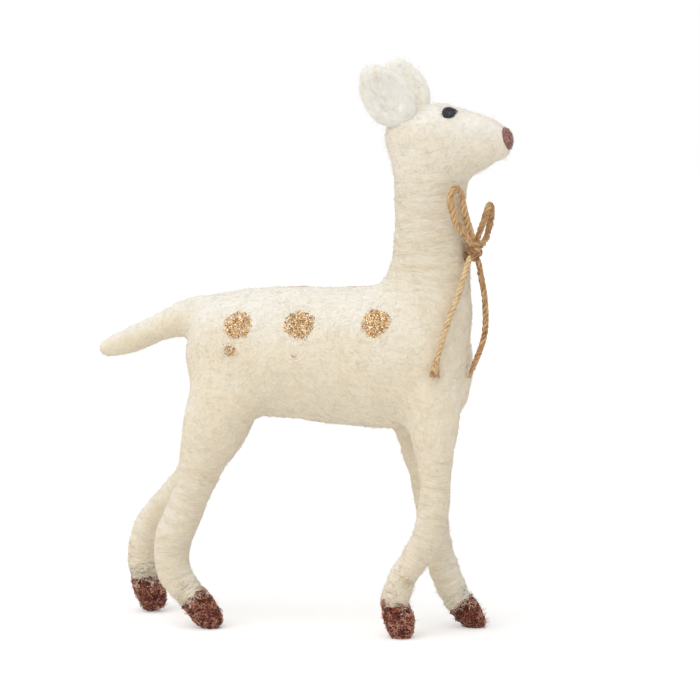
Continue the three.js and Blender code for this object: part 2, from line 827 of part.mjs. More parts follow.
function bowPieces() {
  const nearKnot = [knotForm(seatGap)];
  const { middle, outward } = knotFrame();
  const back = middle.clone().addScaledVector(outward, -knotWrapRadius - twineDiameter / 2);
  const dab = new THREE.SphereGeometry(1, limbSides, domeRings * 2)
    .scale(glueDiameter / 2, glueDiameter / 2, glueDiameter / 2)
    .applyMatrix4(facing(outward, back));
  const glue = without(solid(dab), [neckForm(seatGap), ...nearKnot]);
  return [
    piece("bow_knot", knotForm(), jute),
    piece("bow_glue", largest(glue), amberGlue),
    piece("bow_loop_right", twineForm(loopRightRoute, nearKnot), jute),
    piece("bow_loop_left", twineForm(loopLeftRoute, nearKnot), jute),
    piece("bow_end_right", twineForm(endRightRoute, nearKnot), jute),
    piece("bow_end_left", twineForm(endLeftRoute, nearKnot), jute),
  ];
}

// What a cut leaves, without the crumbs
function largest(body) {
  return body.decompose().reduce((most, part) => (part.volume() > most.volume() ? part : most));
}

const deer = new THREE.Group();
deer.name = "felt_deer_ornament";
deer.add(...trunkPieces(), ...neckAndHead(), tailPiece());
deer.add(earPiece("ear_right", -1, rightEarLean), earPiece("ear_left", 1, leftEarLean));
for (const [name, leg] of Object.entries(legs)) deer.add(...legPieces(name, leg));
deer.add(...facePieces());
deer.add(piece("spine_wire", wireForm(spinePoints()), steel));
deer.add(piece("front_leg_wire", wireForm(frontWirePoints), steel));
deer.add(piece("hind_leg_wire", wireForm(hindWirePoints), steel));
for (const [name, place] of Object.entries(spotShares)) deer.add(glitterPiece(name, place));
deer.add(glitterPiece("glitter_smudge_right", smudgePlace()));
deer.add(...bowPieces());

export default deer;
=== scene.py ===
# A needle-felted deer: cream wool over wire, brown wool hooves, glitter on its flanks, a twine bow.
# The dictionaries give sizes in millimetres, and makePiece turns them into metres.
import math

import bpy
import numpy as np
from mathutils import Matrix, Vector, noise
from mathutils.bvhtree import BVHTree


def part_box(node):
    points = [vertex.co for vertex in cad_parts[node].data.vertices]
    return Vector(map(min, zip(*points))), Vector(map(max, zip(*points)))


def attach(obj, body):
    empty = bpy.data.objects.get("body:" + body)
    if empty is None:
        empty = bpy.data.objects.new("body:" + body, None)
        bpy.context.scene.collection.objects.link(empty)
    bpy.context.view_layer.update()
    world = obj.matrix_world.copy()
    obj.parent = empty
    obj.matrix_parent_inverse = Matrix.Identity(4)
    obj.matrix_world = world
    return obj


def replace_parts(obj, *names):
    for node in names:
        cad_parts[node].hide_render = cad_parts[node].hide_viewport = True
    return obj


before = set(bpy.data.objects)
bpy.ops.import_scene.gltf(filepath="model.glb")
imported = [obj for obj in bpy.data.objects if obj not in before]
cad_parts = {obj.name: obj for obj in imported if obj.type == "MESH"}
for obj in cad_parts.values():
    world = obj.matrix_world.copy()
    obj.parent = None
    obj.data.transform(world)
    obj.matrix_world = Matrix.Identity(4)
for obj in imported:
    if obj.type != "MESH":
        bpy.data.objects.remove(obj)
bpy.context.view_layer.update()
mm = 0.001


# ---- camera
view = {
    "turn": 14.4,  # degrees round from the deer's right side towards its nose
    "rise": 6.0,
    "distance": 900,
    "aim": (15.1, 0, 86.6),
    "pixel": 0.307,  # of the deer, seen in one pixel
    "pixels": 700,
}


def makeCamera():
    turn, rise = math.radians(view["turn"]), math.radians(view["rise"])
    back = Vector((math.sin(turn) * math.cos(rise), -math.cos(turn) * math.cos(rise), math.sin(rise)))
    camera = bpy.data.objects.new("camera", bpy.data.cameras.new("camera"))
    bpy.context.scene.collection.objects.link(camera)
    camera.data.lens = camera.data.sensor_width * view["distance"] / (view["pixel"] * view["pixels"])
    camera.location = (Vector(view["aim"]) + back * view["distance"]) * mm
    camera.rotation_mode = "QUATERNION"
    camera.rotation_quaternion = (-back).to_track_quat("-Z", "Y")
    camera.data.clip_start, camera.data.clip_end = 0.05, 20
    bpy.context.scene.camera = camera


makeCamera()
print("camera set")


# ---- lines, tubes and pieces
def unit(v):
    return v / np.maximum(np.linalg.norm(v, axis=-1, keepdims=True), 1e-9)


def smoothLine(points, perSpan):
    # a smooth line through the points; what follows x, y, z in a point is carried along
    p = np.array(points, float)
    p = np.vstack([2 * p[0] - p[1], p, 2 * p[-1] - p[-2]])
    gap = np.maximum(np.linalg.norm(np.diff(p[:, :3], axis=0), axis=1) ** 0.5, 1e-6)
    t = np.linspace(0, 1, perSpan, endpoint=False)[:, None]
    spans = []
    for i in range(1, len(p) - 2):
        a, b, c = gap[i - 1 : i + 2]
        leave = (p[i] - p[i - 1]) / a - (p[i + 1] - p[i - 1]) / (a + b) + (p[i + 1] - p[i]) / b
        arrive = (p[i + 1] - p[i]) / b - (p[i + 2] - p[i]) / (b + c) + (p[i + 2] - p[i + 1]) / c
        spans.append(
            p[i] * (2 * t**3 - 3 * t**2 + 1)
            + leave * b * (t**3 - 2 * t**2 + t)
            + p[i + 1] * (3 * t**2 - 2 * t**3)
            + arrive * b * (t**3 - t**2)
        )
    return np.vstack(spans + [p[-2:-1]])


def lengthsAlong(line):
    steps = np.linalg.norm(np.diff(line[:, :3], axis=0), axis=1)
    return np.concatenate([[0], np.cumsum(steps)])


def evenLine(line, step):
    s = lengthsAlong(line)
    at = np.linspace(0, s[-1], max(2, int(round(s[-1] / step)) + 1))
    return np.stack([np.interp(at, s, line[:, k]) for k in range(line.shape[1])], 1)


def framesAlong(lines):
    # tangents and a steady pair of normals for many lines at once, shape (lines, points, 3)
    tangent = unit(np.gradient(lines, axis=1))
    least = np.eye(3)[np.abs(tangent[:, 0]).argmin(1)]
    normal = [unit(np.cross(tangent[:, 0], least))]
    for k in range(1, lines.shape[1]):
        last = normal[-1]
        t = tangent[:, k]
        normal.append(unit(last - (last * t).sum(1, keepdims=True) * t))
    normal = np.stack(normal, 1)
    return tangent, normal, np.cross(tangent, normal)


def framesOf(line):
    # the same for a single line
    return (values[0] for values in framesAlong(line[None]))


def turned(turn, one, other):
    # from one way towards another, by a turn
    return np.cos(turn)[..., None] * one + np.sin(turn)[..., None] * other


def fullTurn(sides):
    return np.arange(sides) * 2 * math.pi / sides


def ringFaces(rings, sides):
    # two triangles for each step between rings of points, with each end closed to its own point
    i, j = np.meshgrid(np.arange(rings - 1), np.arange(sides), indexing="ij")
    a, b = i * sides + j, i * sides + (j + 1) % sides
    around = np.concatenate([np.stack([a, b, b + sides], -1), np.stack([a, b + sides, a + sides], -1)], 0)
    first, last = rings * sides, rings * sides + 1
    k = np.arange(sides)
    start = np.stack([np.full(sides, first), (k + 1) % sides, k], 1)
    end = (rings - 1) * sides
    stop = np.stack([np.full(sides, last), end + k, end + (k + 1) % sides], 1)
    return np.vstack([around.reshape(-1, 3), start, stop])


def closedForm(rings, tips):
    return {"verts": np.vstack(rings + [tips]), "faces": ringFaces(len(rings), len(rings[0]))}


def domedRings(ring, count, start, end, opening, closing):
    # rings from end to end of a form and over the dome at each end, with the domes' steps in degrees
    rings = [ring(0, -start * math.sin(a), math.cos(a)) for a in np.radians(opening)]
    rings += [ring(i, 0, 1) for i in range(count)]
    return rings + [ring(-1, end * math.sin(a), math.cos(a)) for a in np.radians(closing)]


def joined(parts):
    # several parts as one; each is a dictionary of verts, faces and values per point
    start = np.cumsum([0] + [len(p["verts"]) for p in parts[:-1]])
    whole = {key: np.concatenate([p[key] for p in parts]) for key in parts[0] if key != "faces"}
    whole["faces"] = np.vstack([p["faces"] + s for p, s in zip(parts, start)])
    return whole


def fibres(lines, radii, shades):
    # thin three-sided strands pointed at both ends; lines (n, k, 3), radii (n,), shades (n,)
    n, k = lines.shape[:2]
    _, normal, across = framesAlong(lines)
    taper = np.sin(np.linspace(0, math.pi, k))[1:-1] ** 0.5
    thick = (np.asarray(radii)[:, None] * taper)[:, :, None, None]
    ring = turned(fullTurn(3), normal[:, 1:-1, None], across[:, 1:-1, None])
    sides = (lines[:, 1:-1, None] + thick * ring).reshape(n, -1, 3)
    verts = np.concatenate([sides, lines[:, :1], lines[:, -1:]], 1)
    each = verts.shape[1]
    return {
        "verts": verts.reshape(-1, 3),
        "faces": (ringFaces(k - 2, 3)[None] + (np.arange(n) * each)[:, None, None]).reshape(-1, 3),
        "shade": np.repeat(shades, each),
    }


def makePiece(name, part, material, smooth=True):
    mesh = bpy.data.meshes.new(name)
    faces = np.ascontiguousarray(part["faces"], np.int32)
    mesh.vertices.add(len(part["verts"]))
    mesh.vertices.foreach_set("co", (part["verts"] * mm).astype(np.float32).ravel())
    mesh.loops.add(faces.size)
    mesh.loops.foreach_set("vertex_index", faces.ravel())
    mesh.polygons.add(len(faces))
    mesh.polygons.foreach_set("loop_start", np.arange(len(faces), dtype=np.int32) * 3)
    mesh.polygons.foreach_set("use_smooth", np.full(len(faces), smooth))
    mesh.update(calc_edges=True)
    for key, value in part.items():
        if key in ("verts", "faces"):
            continue
        flat = value.ndim == 1
        field = mesh.attributes.new(key, "FLOAT" if flat else "FLOAT_VECTOR", "POINT")
        field.data.foreach_set("value" if flat else "vector", value.astype(np.float32).ravel())
    mesh.materials.append(material)
    piece = bpy.data.objects.new(name, mesh)
    bpy.context.scene.collection.objects.link(piece)
    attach(piece, "root")
    return piece


def makePadded(name, part, material, slot, *cadNodes):
    # a soft piece that stands for the frame's own
    piece = makePiece(name, part, material)
    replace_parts(piece, *cadNodes)


def middleOf(cadNode):
    low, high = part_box(cadNode)
    return (np.array(low) + np.array(high)) / 2 / mm


def noiseAt(points, wave, seed):
    # soft noise from about -1 to 1, with lumps about one wave long; each seed looks at another part of it
    where = points / wave + np.array([seed * 13.7, seed * 5.1, seed * 9.3])
    return np.array([noise.noise(p) for p in where.tolist()])


def stepUp(value, low, high):
    t = np.clip((value - low) / (high - low), 0, 1)
    return t * t * (3 - 2 * t)


# ---- shader helpers
def linear(red, green, blue):
    # a colour as seen, 0 to 255, in the numbers that a shader takes
    return tuple(((c / 255 + 0.055) / 1.055) ** 2.4 if c > 10 else c / 3294.6 for c in (red, green, blue))


def startMaterial(name):
    material = bpy.data.materials.new(name)
    material.use_nodes = True
    material.node_tree.nodes.clear()
    return material, material.node_tree


def node(tree, kind, inputs=None, **settings):
    made = tree.nodes.new(kind)
    for key, value in settings.items():
        setattr(made, key, value)
    for key, value in (inputs or {}).items():
        socket = made.inputs[key]
        if isinstance(value, bpy.types.NodeSocket):
            tree.links.new(value, socket)
        else:
            socket.default_value = (*value, 1) if socket.type == "RGBA" else value
    return made


def ramp(tree, value, *stops):
    # each stop is its place and its colour as seen
    made = node(tree, "ShaderNodeValToRGB", {"Fac": value})
    marks = made.color_ramp.elements
    marks[0].position, marks[-1].position = stops[0][0], stops[-1][0]
    for place, _ in stops[1:-1]:
        marks.new(place)
    for mark, (_, colour) in zip(marks, stops):
        mark.color = (*linear(*colour), 1)
    return made.outputs["Color"]


def mixed(tree, amount, one, other, blend="MIX"):
    inputs = {0: amount, 6: one, 7: other}
    return node(tree, "ShaderNodeMix", inputs, data_type="RGBA", blend_type=blend).outputs[2]


def sums(tree, operation, one, other, third=0.0, clamp=False):
    inputs = {0: one, 1: other, 2: third}
    return node(tree, "ShaderNodeMath", inputs, operation=operation, use_clamp=clamp).outputs[0]


def scaled(tree, value, factor, shift):
    return sums(tree, "MULTIPLY_ADD", value, factor, shift)


def weighed(tree, one, share, other, otherShare):
    return sums(tree, "ADD", sums(tree, "MULTIPLY", one, share), sums(tree, "MULTIPLY", other, otherShare))


def field(tree, name, kind="Fac"):
    return node(tree, "ShaderNodeAttribute", attribute_name=name).outputs[kind]


def placeOn(tree):
    return node(tree, "ShaderNodeTexCoord").outputs["Object"]


def grain(tree, where, scale, stretch=(1, 1, 1), detail=3.0, roughness=0.55, distortion=0.0):
    # noise of about 1 / scale, in the units of where, finer along an axis by its stretch
    placed = node(tree, "ShaderNodeMapping", {"Vector": where, "Scale": stretch}).outputs[0]
    inputs = {"Vector": placed, "Scale": scale, "Detail": detail, "Roughness": roughness, "Distortion": distortion}
    return node(tree, "ShaderNodeTexNoise", inputs).outputs["Fac"]


def finishMaterial(tree, colour, height, depth, finish):
    # depth is in millimetres, and finish holds what is the same all over
    inputs = {"Base Color": colour, **finish}
    if height is not None:
        bump = node(tree, "ShaderNodeBump", {"Height": height, "Strength": 1.0, "Distance": depth * mm})
        inputs["Normal"] = bump.outputs[0]
    shader = node(tree, "ShaderNodeBsdfPrincipled", inputs)
    node(tree, "ShaderNodeOutputMaterial", {"Surface": shader.outputs[0]})


# ---- twine bow
twine = {
    "diameter": 1.8,
    "plies": 3,
    "plyRadius": 0.47,
    "plyOffset": 0.45,  # from the twine's middle to the middle of each ply
    "pitch": 5.2,  # length in which a ply goes once round
    "step": 0.22,
    "sides": 9,
    "threads": 6,  # for each millimetre, lying loose on the plies
    "threadLength": (2.5, 7.0),
    "threadRadius": (0.03, 0.07),
    "hairs": 7.0,  # for each millimetre, standing off the twine
    "hairLength": (1.0, 2.8),
    "hairRadius": 0.042,
    "frayLength": 6.6,
    "pliesStop": 4.2,  # above the near end, inside the brush
    "brush": 240,  # fibres in the near end's cut brush
    "brushWidth": (0.6, 1.75),  # from its middle to its edge, at its top and at the cut
    "farTaper": 7.0,  # length over which the far end thins to a point
    "swell": 1.22,  # of the near loop, whose plies have come loose below its top
    "knot": (54.79, -4.2, 118.4),
    # the knot's level of painted light, set below the loops' so that its wraps are darker
    "knotToneAndPaintedLight": -0.2,
    "knotHairs": 40,  # on each wrap
    "outward": (0.949, -0.314, 0),  # from the neck through the knot
    "wrapRadius": 1.72,
    "wrapTurns": 1.06,
    "wrapWobble": 0.18,
    "wrapSlants": (52, -38, 8),
    "wrapRises": (0.6, -0.5, 1.9),
    "throughKnot": [(-0.5, -0.3, -3.3), (0.1, 0.3, -1.2), (0.2, -0.2, 1.2), (-0.3, 0.2, 3.2)],
    "throughShifts": [(0.5, -0.7), (-0.6, 0.5), (0.5, 0.7)],  # outwards and across, for each strand
}

# the four free stretches of twine, each route from the middle of the knot; each stretch has its own level of painted
# light: the near end, which hangs lit in front of the neck, is painted lightest, and the far loop and the far end are
# painted darker as painted shade
bow = {
    "bowLoopRight": {
        "node": "bow_loop_right",
        "farEnd": "object",
        "toneAndPaintedLight": 0.28,
        "route": [
            (-0.4, -1.7, 1.6), (-1.3, -3.4, 3.6), (-2.7, -5.5, 6.1), (-4.0, -7.4, 8.8), (-4.6, -8.7, 11.5),
            (-5.1, -9.5, 14.7), (-5.3, -9.0, 16.8), (-5.1, -7.5, 18.3), (-4.6, -5.6, 18.8), (-4.0, -3.7, 18.1),
            (-3.4, -2.6, 16.6), (-3.0, -2.2, 13.5), (-2.3, -1.9, 10.5), (-1.5, -1.4, 7.4), (-0.6, -0.9, 4.4),
            (0.0, -0.3, 2.0),
        ],
    },
    "bowLoopLeft": {
        "node": "bow_loop_left",
        "farEnd": "object",
        "toneAndPaintedLight": 0.06,
        "route": [
            (0.2, 0.7, 1.8), (1.0, 1.2, 4.1), (1.8, 2.1, 6.8), (2.4, 3.2, 8.9), (3.0, 4.6, 11.9),
            (3.2, 6.4, 13.0), (3.2, 8.6, 12.9), (3.1, 10.4, 11.6), (2.9, 11.2, 9.6), (2.7, 10.7, 7.7),
            (2.5, 9.0, 5.4), (2.4, 7.1, 3.6), (2.0, 4.9, 2.1), (1.4, 2.9, 1.0), (0.9, 1.5, 0.4),
        ],
    },
    "bowEndRight": {
        "node": "bow_end_right",
        "farEnd": "bare",
        "toneAndPaintedLight": 0.95,
        "route": [
            (-1.0, -0.7, -2.0), (-1.7, -2.2, -4.8), (-2.3, -3.8, -8.0), (-3.2, -5.2, -11.6),
            (-4.3, -6.8, -15.4), (-5.4, -8.2, -19.0), (-6.4, -9.5, -22.7), (-7.3, -10.7, -26.4),
            (-8.0, -11.5, -29.3), (-8.7, -12.0, -32.6), (-9.2, -12.4, -35.6), (-9.4, -12.6, -37.6),
        ],
    },
    "bowEndLeft": {
        "node": "bow_end_left",
        "farEnd": "bare",
        "toneAndPaintedLight": 0.04,
        "route": [
            (0.3, 1.2, -2.2), (1.1, 2.0, -4.5), (1.5, 2.8, -8.1), (2.1, 3.6, -11.9), (2.5, 4.2, -16.0),
            (2.7, 4.4, -20.7), (2.7, 3.8, -24.8), (2.1, 2.6, -28.4), (1.2, 1.8, -31.5), (0.1, 1.0, -34.5),
            (-0.8, 0.0, -37.1), (-1.2, -0.6, -38.7),
        ],
    },
}


def juteMaterial():
    material, tree = startMaterial("juteTwine")
    ply = field(tree, "plyCoord", "Vector")
    strands = grain(tree, ply, 1.0, (0.3, 7.5, 7.5), 4.0, 0.65)
    # the shade field lifts the tone; on the plies and threads it carries each stretch's painted light
    tone = scaled(tree, strands, 2.0, scaled(tree, field(tree, "shade"), 0.36, -0.49))
    tans = [(0.28, (92, 54, 28)), (0.42, (190, 134, 82)), (0.58, (242, 194, 134)), (0.84, (255, 235, 190))]
    colour = ramp(tree, tone, *tans)
    patches = ramp(tree, grain(tree, placeOn(tree), 260, detail=2.0), (0.35, (218, 194, 168)), (0.65, (255, 246, 226)))
    colour = mixed(tree, 0.22, colour, patches, "MULTIPLY")
    height = weighed(tree, strands, 0.7, grain(tree, ply, 1.0, (0.8, 16.0, 16.0)), 0.3)
    finish = {"Roughness": 0.75, "Sheen Weight": 0.25, "Sheen Roughness": 0.5, "Specular IOR Level": 0.3}
    finishMaterial(tree, colour, height, 0.3, finish)
    return material


def pliedTwine(line, turnShift, toneAndPaintedLight, size=None):
    # plies laid round the line, each a tube; size thickens or thins the twine
    size = np.ones(len(line)) if size is None else size
    s = lengthsAlong(line)
    _, normal, across = framesOf(line)
    sides = fullTurn(twine["sides"])
    corners = np.stack([np.cos(sides), np.sin(sides)], 1) * 0.45
    parts = []
    for ply in range(twine["plies"]):
        turn = 2 * math.pi * (s / twine["pitch"] + ply / twine["plies"]) + turnShift
        centre = line + (twine["plyOffset"] * size)[:, None] * turned(turn, normal, across)
        thick = twine["plyRadius"] * size * (1 + 0.12 * noiseAt(centre, 1.1, ply + 1))
        ring = centre[:, None] + thick[:, None, None] * turned(sides, normal[:, None], across[:, None])
        verts = np.vstack([ring.reshape(-1, 3), centre[:1], centre[-1:]])
        along = s + 20 * ply  # so that no two plies show the same grain
        coord = np.column_stack([np.repeat(along, len(sides)), np.tile(corners, (len(line), 1))])
        coord = np.vstack([coord, (along[0], 0, 0), (along[-1], 0, 0)])
        # painted light: the stretch's own level, lighter where it hangs lit and darker in shade, with a little change
        # from ply to ply
        shade = np.full(len(verts), toneAndPaintedLight) + 0.12 * math.cos(2.1 * ply + turnShift)
        parts.append({"verts": verts, "faces": ringFaces(len(line), len(sides)), "plyCoord": coord, "shade": shade})
    return joined(parts)


def strandPart(lines, radii, shades):
    part = fibres(lines, radii, shades)
    part["plyCoord"] = part["verts"] * (1.0, 0.6, 0.06)  # drawn out downwards, as most of the bow hangs
    return part


def twineHairs(line, count, seed, size=None):
    # loose fibres that leave the twine at a low angle
    rng = np.random.default_rng(seed)
    tangent, normal, across = framesOf(line)
    at = rng.integers(2, len(line) - 2, count)
    out = turned(rng.uniform(0, 2 * math.pi, count), normal[at], across[at])
    sideways = np.cross(tangent[at], out)
    lengths = rng.uniform(*twine["hairLength"], (count, 1, 1))
    lift = rng.uniform(0.02, 0.6, (count, 1, 1)) ** 1.4
    direction = np.where(rng.random(count) < 0.7, 1, -1)[:, None]
    bend = rng.normal(0, 0.25, (count, 1, 1))
    t = np.linspace(0, 1, 6)[None, :, None]
    thick = (np.ones(len(line)) if size is None else size)[at, None]
    base = line[at] + out * thick * (0.62 * twine["diameter"] / 2 + 0.1)
    lines = (
        base[:, None]
        + (direction * tangent[at])[:, None] * lengths * t * (1 - 0.3 * lift)
        + out[:, None] * lengths * lift * t**1.5
        + sideways[:, None] * lengths * bend * t**2
    )
    return strandPart(lines, rng.uniform(0.7, 1.4, count) * twine["hairRadius"], rng.uniform(0.0, 0.8, count))


def looseThreads(line, seed, toneAndPaintedLight, size=None):
    # long fibres that follow the plies loosely and fill the grooves between them
    rng = np.random.default_rng(seed)
    size = np.ones(len(line)) if size is None else size
    s = lengthsAlong(line)
    _, normal, across = framesOf(line)
    count = int(twine["threads"] * s[-1])
    long = rng.uniform(*twine["threadLength"], count).clip(0, 0.8 * s[-1])
    begin = rng.uniform(0, 1, count) * (s[-1] - long)
    t = np.linspace(0, 1, 9)
    at = begin[:, None] + long[:, None] * t
    turn = 2 * math.pi * at / (twine["pitch"] * rng.uniform(0.8, 1.9, (count, 1)))
    turn = turn + rng.uniform(0, 2 * math.pi, (count, 1))
    paths = (line, normal, across, size[:, None])
    spots, one, other, thick = (np.stack([np.interp(at, s, column) for column in path.T], 2) for path in paths)
    away = (twine["plyOffset"] + twine["plyRadius"] * rng.uniform(0.45, 1.08, (count, 1)))[:, :, None] * thick
    wave = 0.09 * np.sin(rng.uniform(0, 6, (count, 1)) + rng.uniform(4, 10, (count, 1)) * t)[:, :, None]
    lines = spots + (away + wave) * turned(turn, one, other)
    # painted light: the stretch's own level, with a random spread from thread to thread
    shades = (toneAndPaintedLight + rng.uniform(-0.5, 0.7, count)).clip(0, 1)
    return strandPart(lines, rng.uniform(*twine["threadRadius"], count), shades)


def cutBrush(line, seed):
    # the near end has come apart into a flat brush of fibres, cut straight across
    rng = np.random.default_rng(seed)
    s = lengthsAlong(line)
    first = np.searchsorted(s, s[-1] - twine["frayLength"])
    tangent = unit(line[-1] - line[first])
    wide = unit(np.cross(tangent, np.array([0.25, -1.0, 0.0])))
    deep = np.cross(wide, tangent)
    count = twine["brush"]
    across = rng.uniform(-1, 1, count)[:, None, None]
    through = rng.uniform(-0.5, 0.5, count)[:, None, None]
    t = np.append(np.linspace(0, 0.97, 7), 1)[None, :, None]
    narrow, wideOpen = twine["brushWidth"]
    opened = narrow + (wideOpen - narrow) * t**1.2
    spine = np.stack([np.interp(s[first] + (s[-1] - s[first]) * t.ravel(), s, line[:, k]) for k in range(3)], 1)
    wave = 0.1 * np.sin(rng.uniform(0, 6, (count, 1, 1)) + rng.uniform(3, 8, (count, 1, 1)) * t)
    lines = spine[None] + wide * (across * opened + wave) + deep * (through * opened + wave) * 0.8
    lines = lines + tangent * rng.uniform(-0.3, 0.15, (count, 1, 1)) * t
    shades = np.where(rng.random(count) < 0.16, 0, rng.uniform(0.45, 1, count))
    return strandPart(lines, rng.uniform(0.06, 0.13, count), shades)


def tieKnot(jute, middle):
    # three wraps of the twine over the strands that run through them
    outward = unit(np.array(twine["outward"]))
    up = np.array([0.0, 0.0, 1.0])
    across = np.cross(up, outward)
    pale = twine["knotToneAndPaintedLight"]
    turn = np.linspace(0, 2 * math.pi * twine["wrapTurns"], 60)
    parts = []
    for i, (slant, rise) in enumerate(zip(twine["wrapSlants"], twine["wrapRises"])):
        flat = np.radians(slant)
        hoop = turned(turn, outward, math.cos(flat) * across + math.sin(flat) * up)
        wobble = twine["wrapWobble"] * np.sin(2 * turn + i)[:, None] * up
        line = evenLine(middle + twine["wrapRadius"] * hoop + rise * up + wobble, twine["step"])
        parts.append(pliedTwine(line, i * 1.3, pale))
        parts.append(looseThreads(line, 66 + i, pale))
        parts.append(twineHairs(line, twine["knotHairs"], 60 + i))
    through = smoothLine(middle + np.array(twine["throughKnot"]), 8)
    for i, (out, aside) in enumerate(twine["throughShifts"]):
        line = evenLine(through + out * outward + aside * across, twine["step"])
        parts.append(pliedTwine(line, i * 2.0, pale))
    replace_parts(makePiece("bowKnot", joined(parts), jute), "bow_knot")


def twineSize(name, s):
    # how thick the twine is along each stretch, as a share of its diameter
    long = s[-1]
    if name == "bowLoopRight":
        slack = stepUp(s, 1, 6) - stepUp(s, long * 0.36, long * 0.5)
        slack = slack + stepUp(s, long * 0.62, long * 0.78) - stepUp(s, long - 5, long)
        return 1 + (twine["swell"] - 1) * slack
    if name == "bowLoopLeft":
        return 1 + 0.12 * stepUp(s, 3, 9) * (1 - stepUp(s, long - 14, long - 6))
    if name == "bowEndRight":
        return 1 - 0.45 * stepUp(s, long - twine["frayLength"], long - twine["pliesStop"])
    return 1 - 0.3 * stepUp(s, long - twine["farTaper"], long)


def layStretch(number, name, jute, middle):
    stretch = bow[name]
    line = evenLine(smoothLine(np.array(stretch["route"]) + middle, 10), twine["step"])
    s = lengthsAlong(line)
    long = s[-1]
    size = twineSize(name, s)
    frayed = name == "bowEndRight"
    kept = s < long - twine["pliesStop"] if frayed else np.full(len(s), True)
    rope = [cutBrush(line, 48)] if frayed else []
    rope.append(pliedTwine(line[kept], number * 0.9, stretch["toneAndPaintedLight"], size[kept]))
    rope.append(looseThreads(line[kept], 30 + number, stretch["toneAndPaintedLight"], size[kept]))
    rope.append(twineHairs(line, int(twine["hairs"] * long), 40 + number, size))
    piece = makePiece(name, joined(rope), jute)
    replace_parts(piece, stretch["node"])
    print(name, "is", round(long, 1), "mm of twine")


jute, knotMiddle = juteMaterial(), np.array(twine["knot"])
tieKnot(jute, knotMiddle)
for number, name in enumerate(bow):
    layStretch(number, name, jute, knotMiddle)
print("bow tied")


# ---- felt forms
# x, z, deep (in the deer's own plane) and wide, down each form's axis
body = {
    "trunk": {
        "stations": [
            (-28.32, 85.24, 35.68, 29.24), (-18.59, 85.32, 38.8, 32.3), (-4.03, 85.41, 40.59, 33.32),
            (14.45, 84.88, 42.37, 34.0), (29.99, 85.15, 44.6, 34.0), (41.68, 86.93, 44.6, 31.62),
        ],
        "startDome": 8,
        "endDome": 11,
    },
    "neck": {
        "stations": [
            (38.39, 92.7, 28.82, 27.6), (38.5, 99.99, 30.8, 28.4), (39.6, 107.98, 26.4, 24.0),
            (40.37, 115.97, 23.76, 22.0), (40.48, 124.02, 22.44, 20.6), (40.26, 132.01, 21.78, 20.0),
            (40.22, 140.0, 22.66, 20.0), (39.82, 146.7, 23.76, 20.0),
        ],
        "startDome": 5,
        "endDome": 5,
    },
    "head": {
        "stations": [
            (32.82, 151.7, 18.98, 18.0), (40.2, 151.25, 22.6, 20.0), (47.57, 150.21, 22.37, 19.0),
            (54.06, 150.34, 18.76, 15.6), (58.63, 150.52, 14.46, 12.0), (62.32, 150.16, 9.49, 8.4),
        ],
        "startDome": 6.4,
        "endDome": 2.6,
        "square": 2.3,
    },
    "tail": {
        "stations": [
            (-31.32, 97.1, 13.18, 13.18), (-37.24, 95.59, 12.29, 12.29), (-44.12, 92.81, 9.98, 9.98),
            (-52.98, 88.98, 8.58, 8.58), (-60.86, 86.08, 6.66, 6.66), (-63.32, 85.27, 5.5, 5.5),
        ],
        "startDome": 3,
        "endDome": 2.7,
    },
    "frontLegRight": {
        "side": -1,
        "stations": [
            (43.18, 72.0, 18.05), (43.68, 64.22, 16.22), (43.97, 57.02, 12.58), (44.19, 49.97, 10.27),
            (44.04, 43.42, 9.7), (43.25, 36.72, 9.5), (41.6, 30.38, 9.22), (37.85, 24.12, 8.54),
            (34.4, 18.79, 8.35), (32.52, 13.54, 8.45), (31.88, 10.66, 8.06),
        ],
    },
    "frontLegLeft": {
        "side": 1,
        "stations": [
            (32.18, 72.0, 17.47), (33.84, 61.27, 14.21), (36.21, 50.33, 10.37), (38.23, 39.31, 9.6),
            (39.74, 29.88, 9.31), (41.83, 20.59, 9.22), (43.92, 14.26, 9.22), (47.37, 7.49, 8.5),
        ],
    },
    "hindLegRight": {
        "side": -1,
        "stations": [
            (-22.5, 72.0, 23.3), (-25.6, 63.5, 20.2), (-29.8, 50.98, 14.15), (-33.1, 41.33, 11.52),
            (-36.56, 33.05, 11.71), (-38.94, 27.07, 11.71), (-39.44, 21.89, 11.14), (-37.78, 15.62, 10.56),
            (-32.53, 9.22, 9.02),
        ],
    },
    "hindLegLeft": {
        "side": 1,
        "stations": [
            (-23.54, 72.0, 18.72), (-26.71, 63.5, 16.7), (-31.24, 54.0, 13.63), (-37.0, 46.01, 11.71),
            (-41.97, 40.03, 11.14), (-47.3, 35.14, 9.98), (-51.33, 30.67, 9.6), (-54.57, 24.48, 9.31),
            (-55.94, 16.78, 9.12), (-55.51, 10.94, 8.35),
        ],
    },
}
# the legs' tops run well up into the trunk, as their wool is needled smooth with it
legs = {"hipHeight": 72, "hipSpread": 18, "footSpread": 22, "hipFlatness": 0.8, "startDome": 16, "endDome": 2.6}


def axisOf(form):
    # the form's axis as x, y, z, deep, wide, closely spaced
    stations = []
    for x, z, deep, *wide in form["stations"]:
        if wide:
            stations.append((x, 0, z, deep, wide[0]))
            continue
        # a leg leans outwards to its foot and is flatter at the hip
        down = 1 - z / legs["hipHeight"]
        y = form["side"] * (legs["hipSpread"] + (legs["footSpread"] - legs["hipSpread"]) * down) / 2
        flat = legs["hipFlatness"]
        stations.append((x, y, z, deep, deep * min(1, flat + (1 - flat) * 2 * down)))
    return smoothLine(stations, 8)


def axisFrames(axis):
    # along the axis, across the deer, and square to both
    along = unit(np.gradient(axis[:, :3], axis=0))
    side = unit(np.array([0.0, 1.0, 0.0]) - along * along[:, 1:2])
    return along, side, np.cross(side, along)


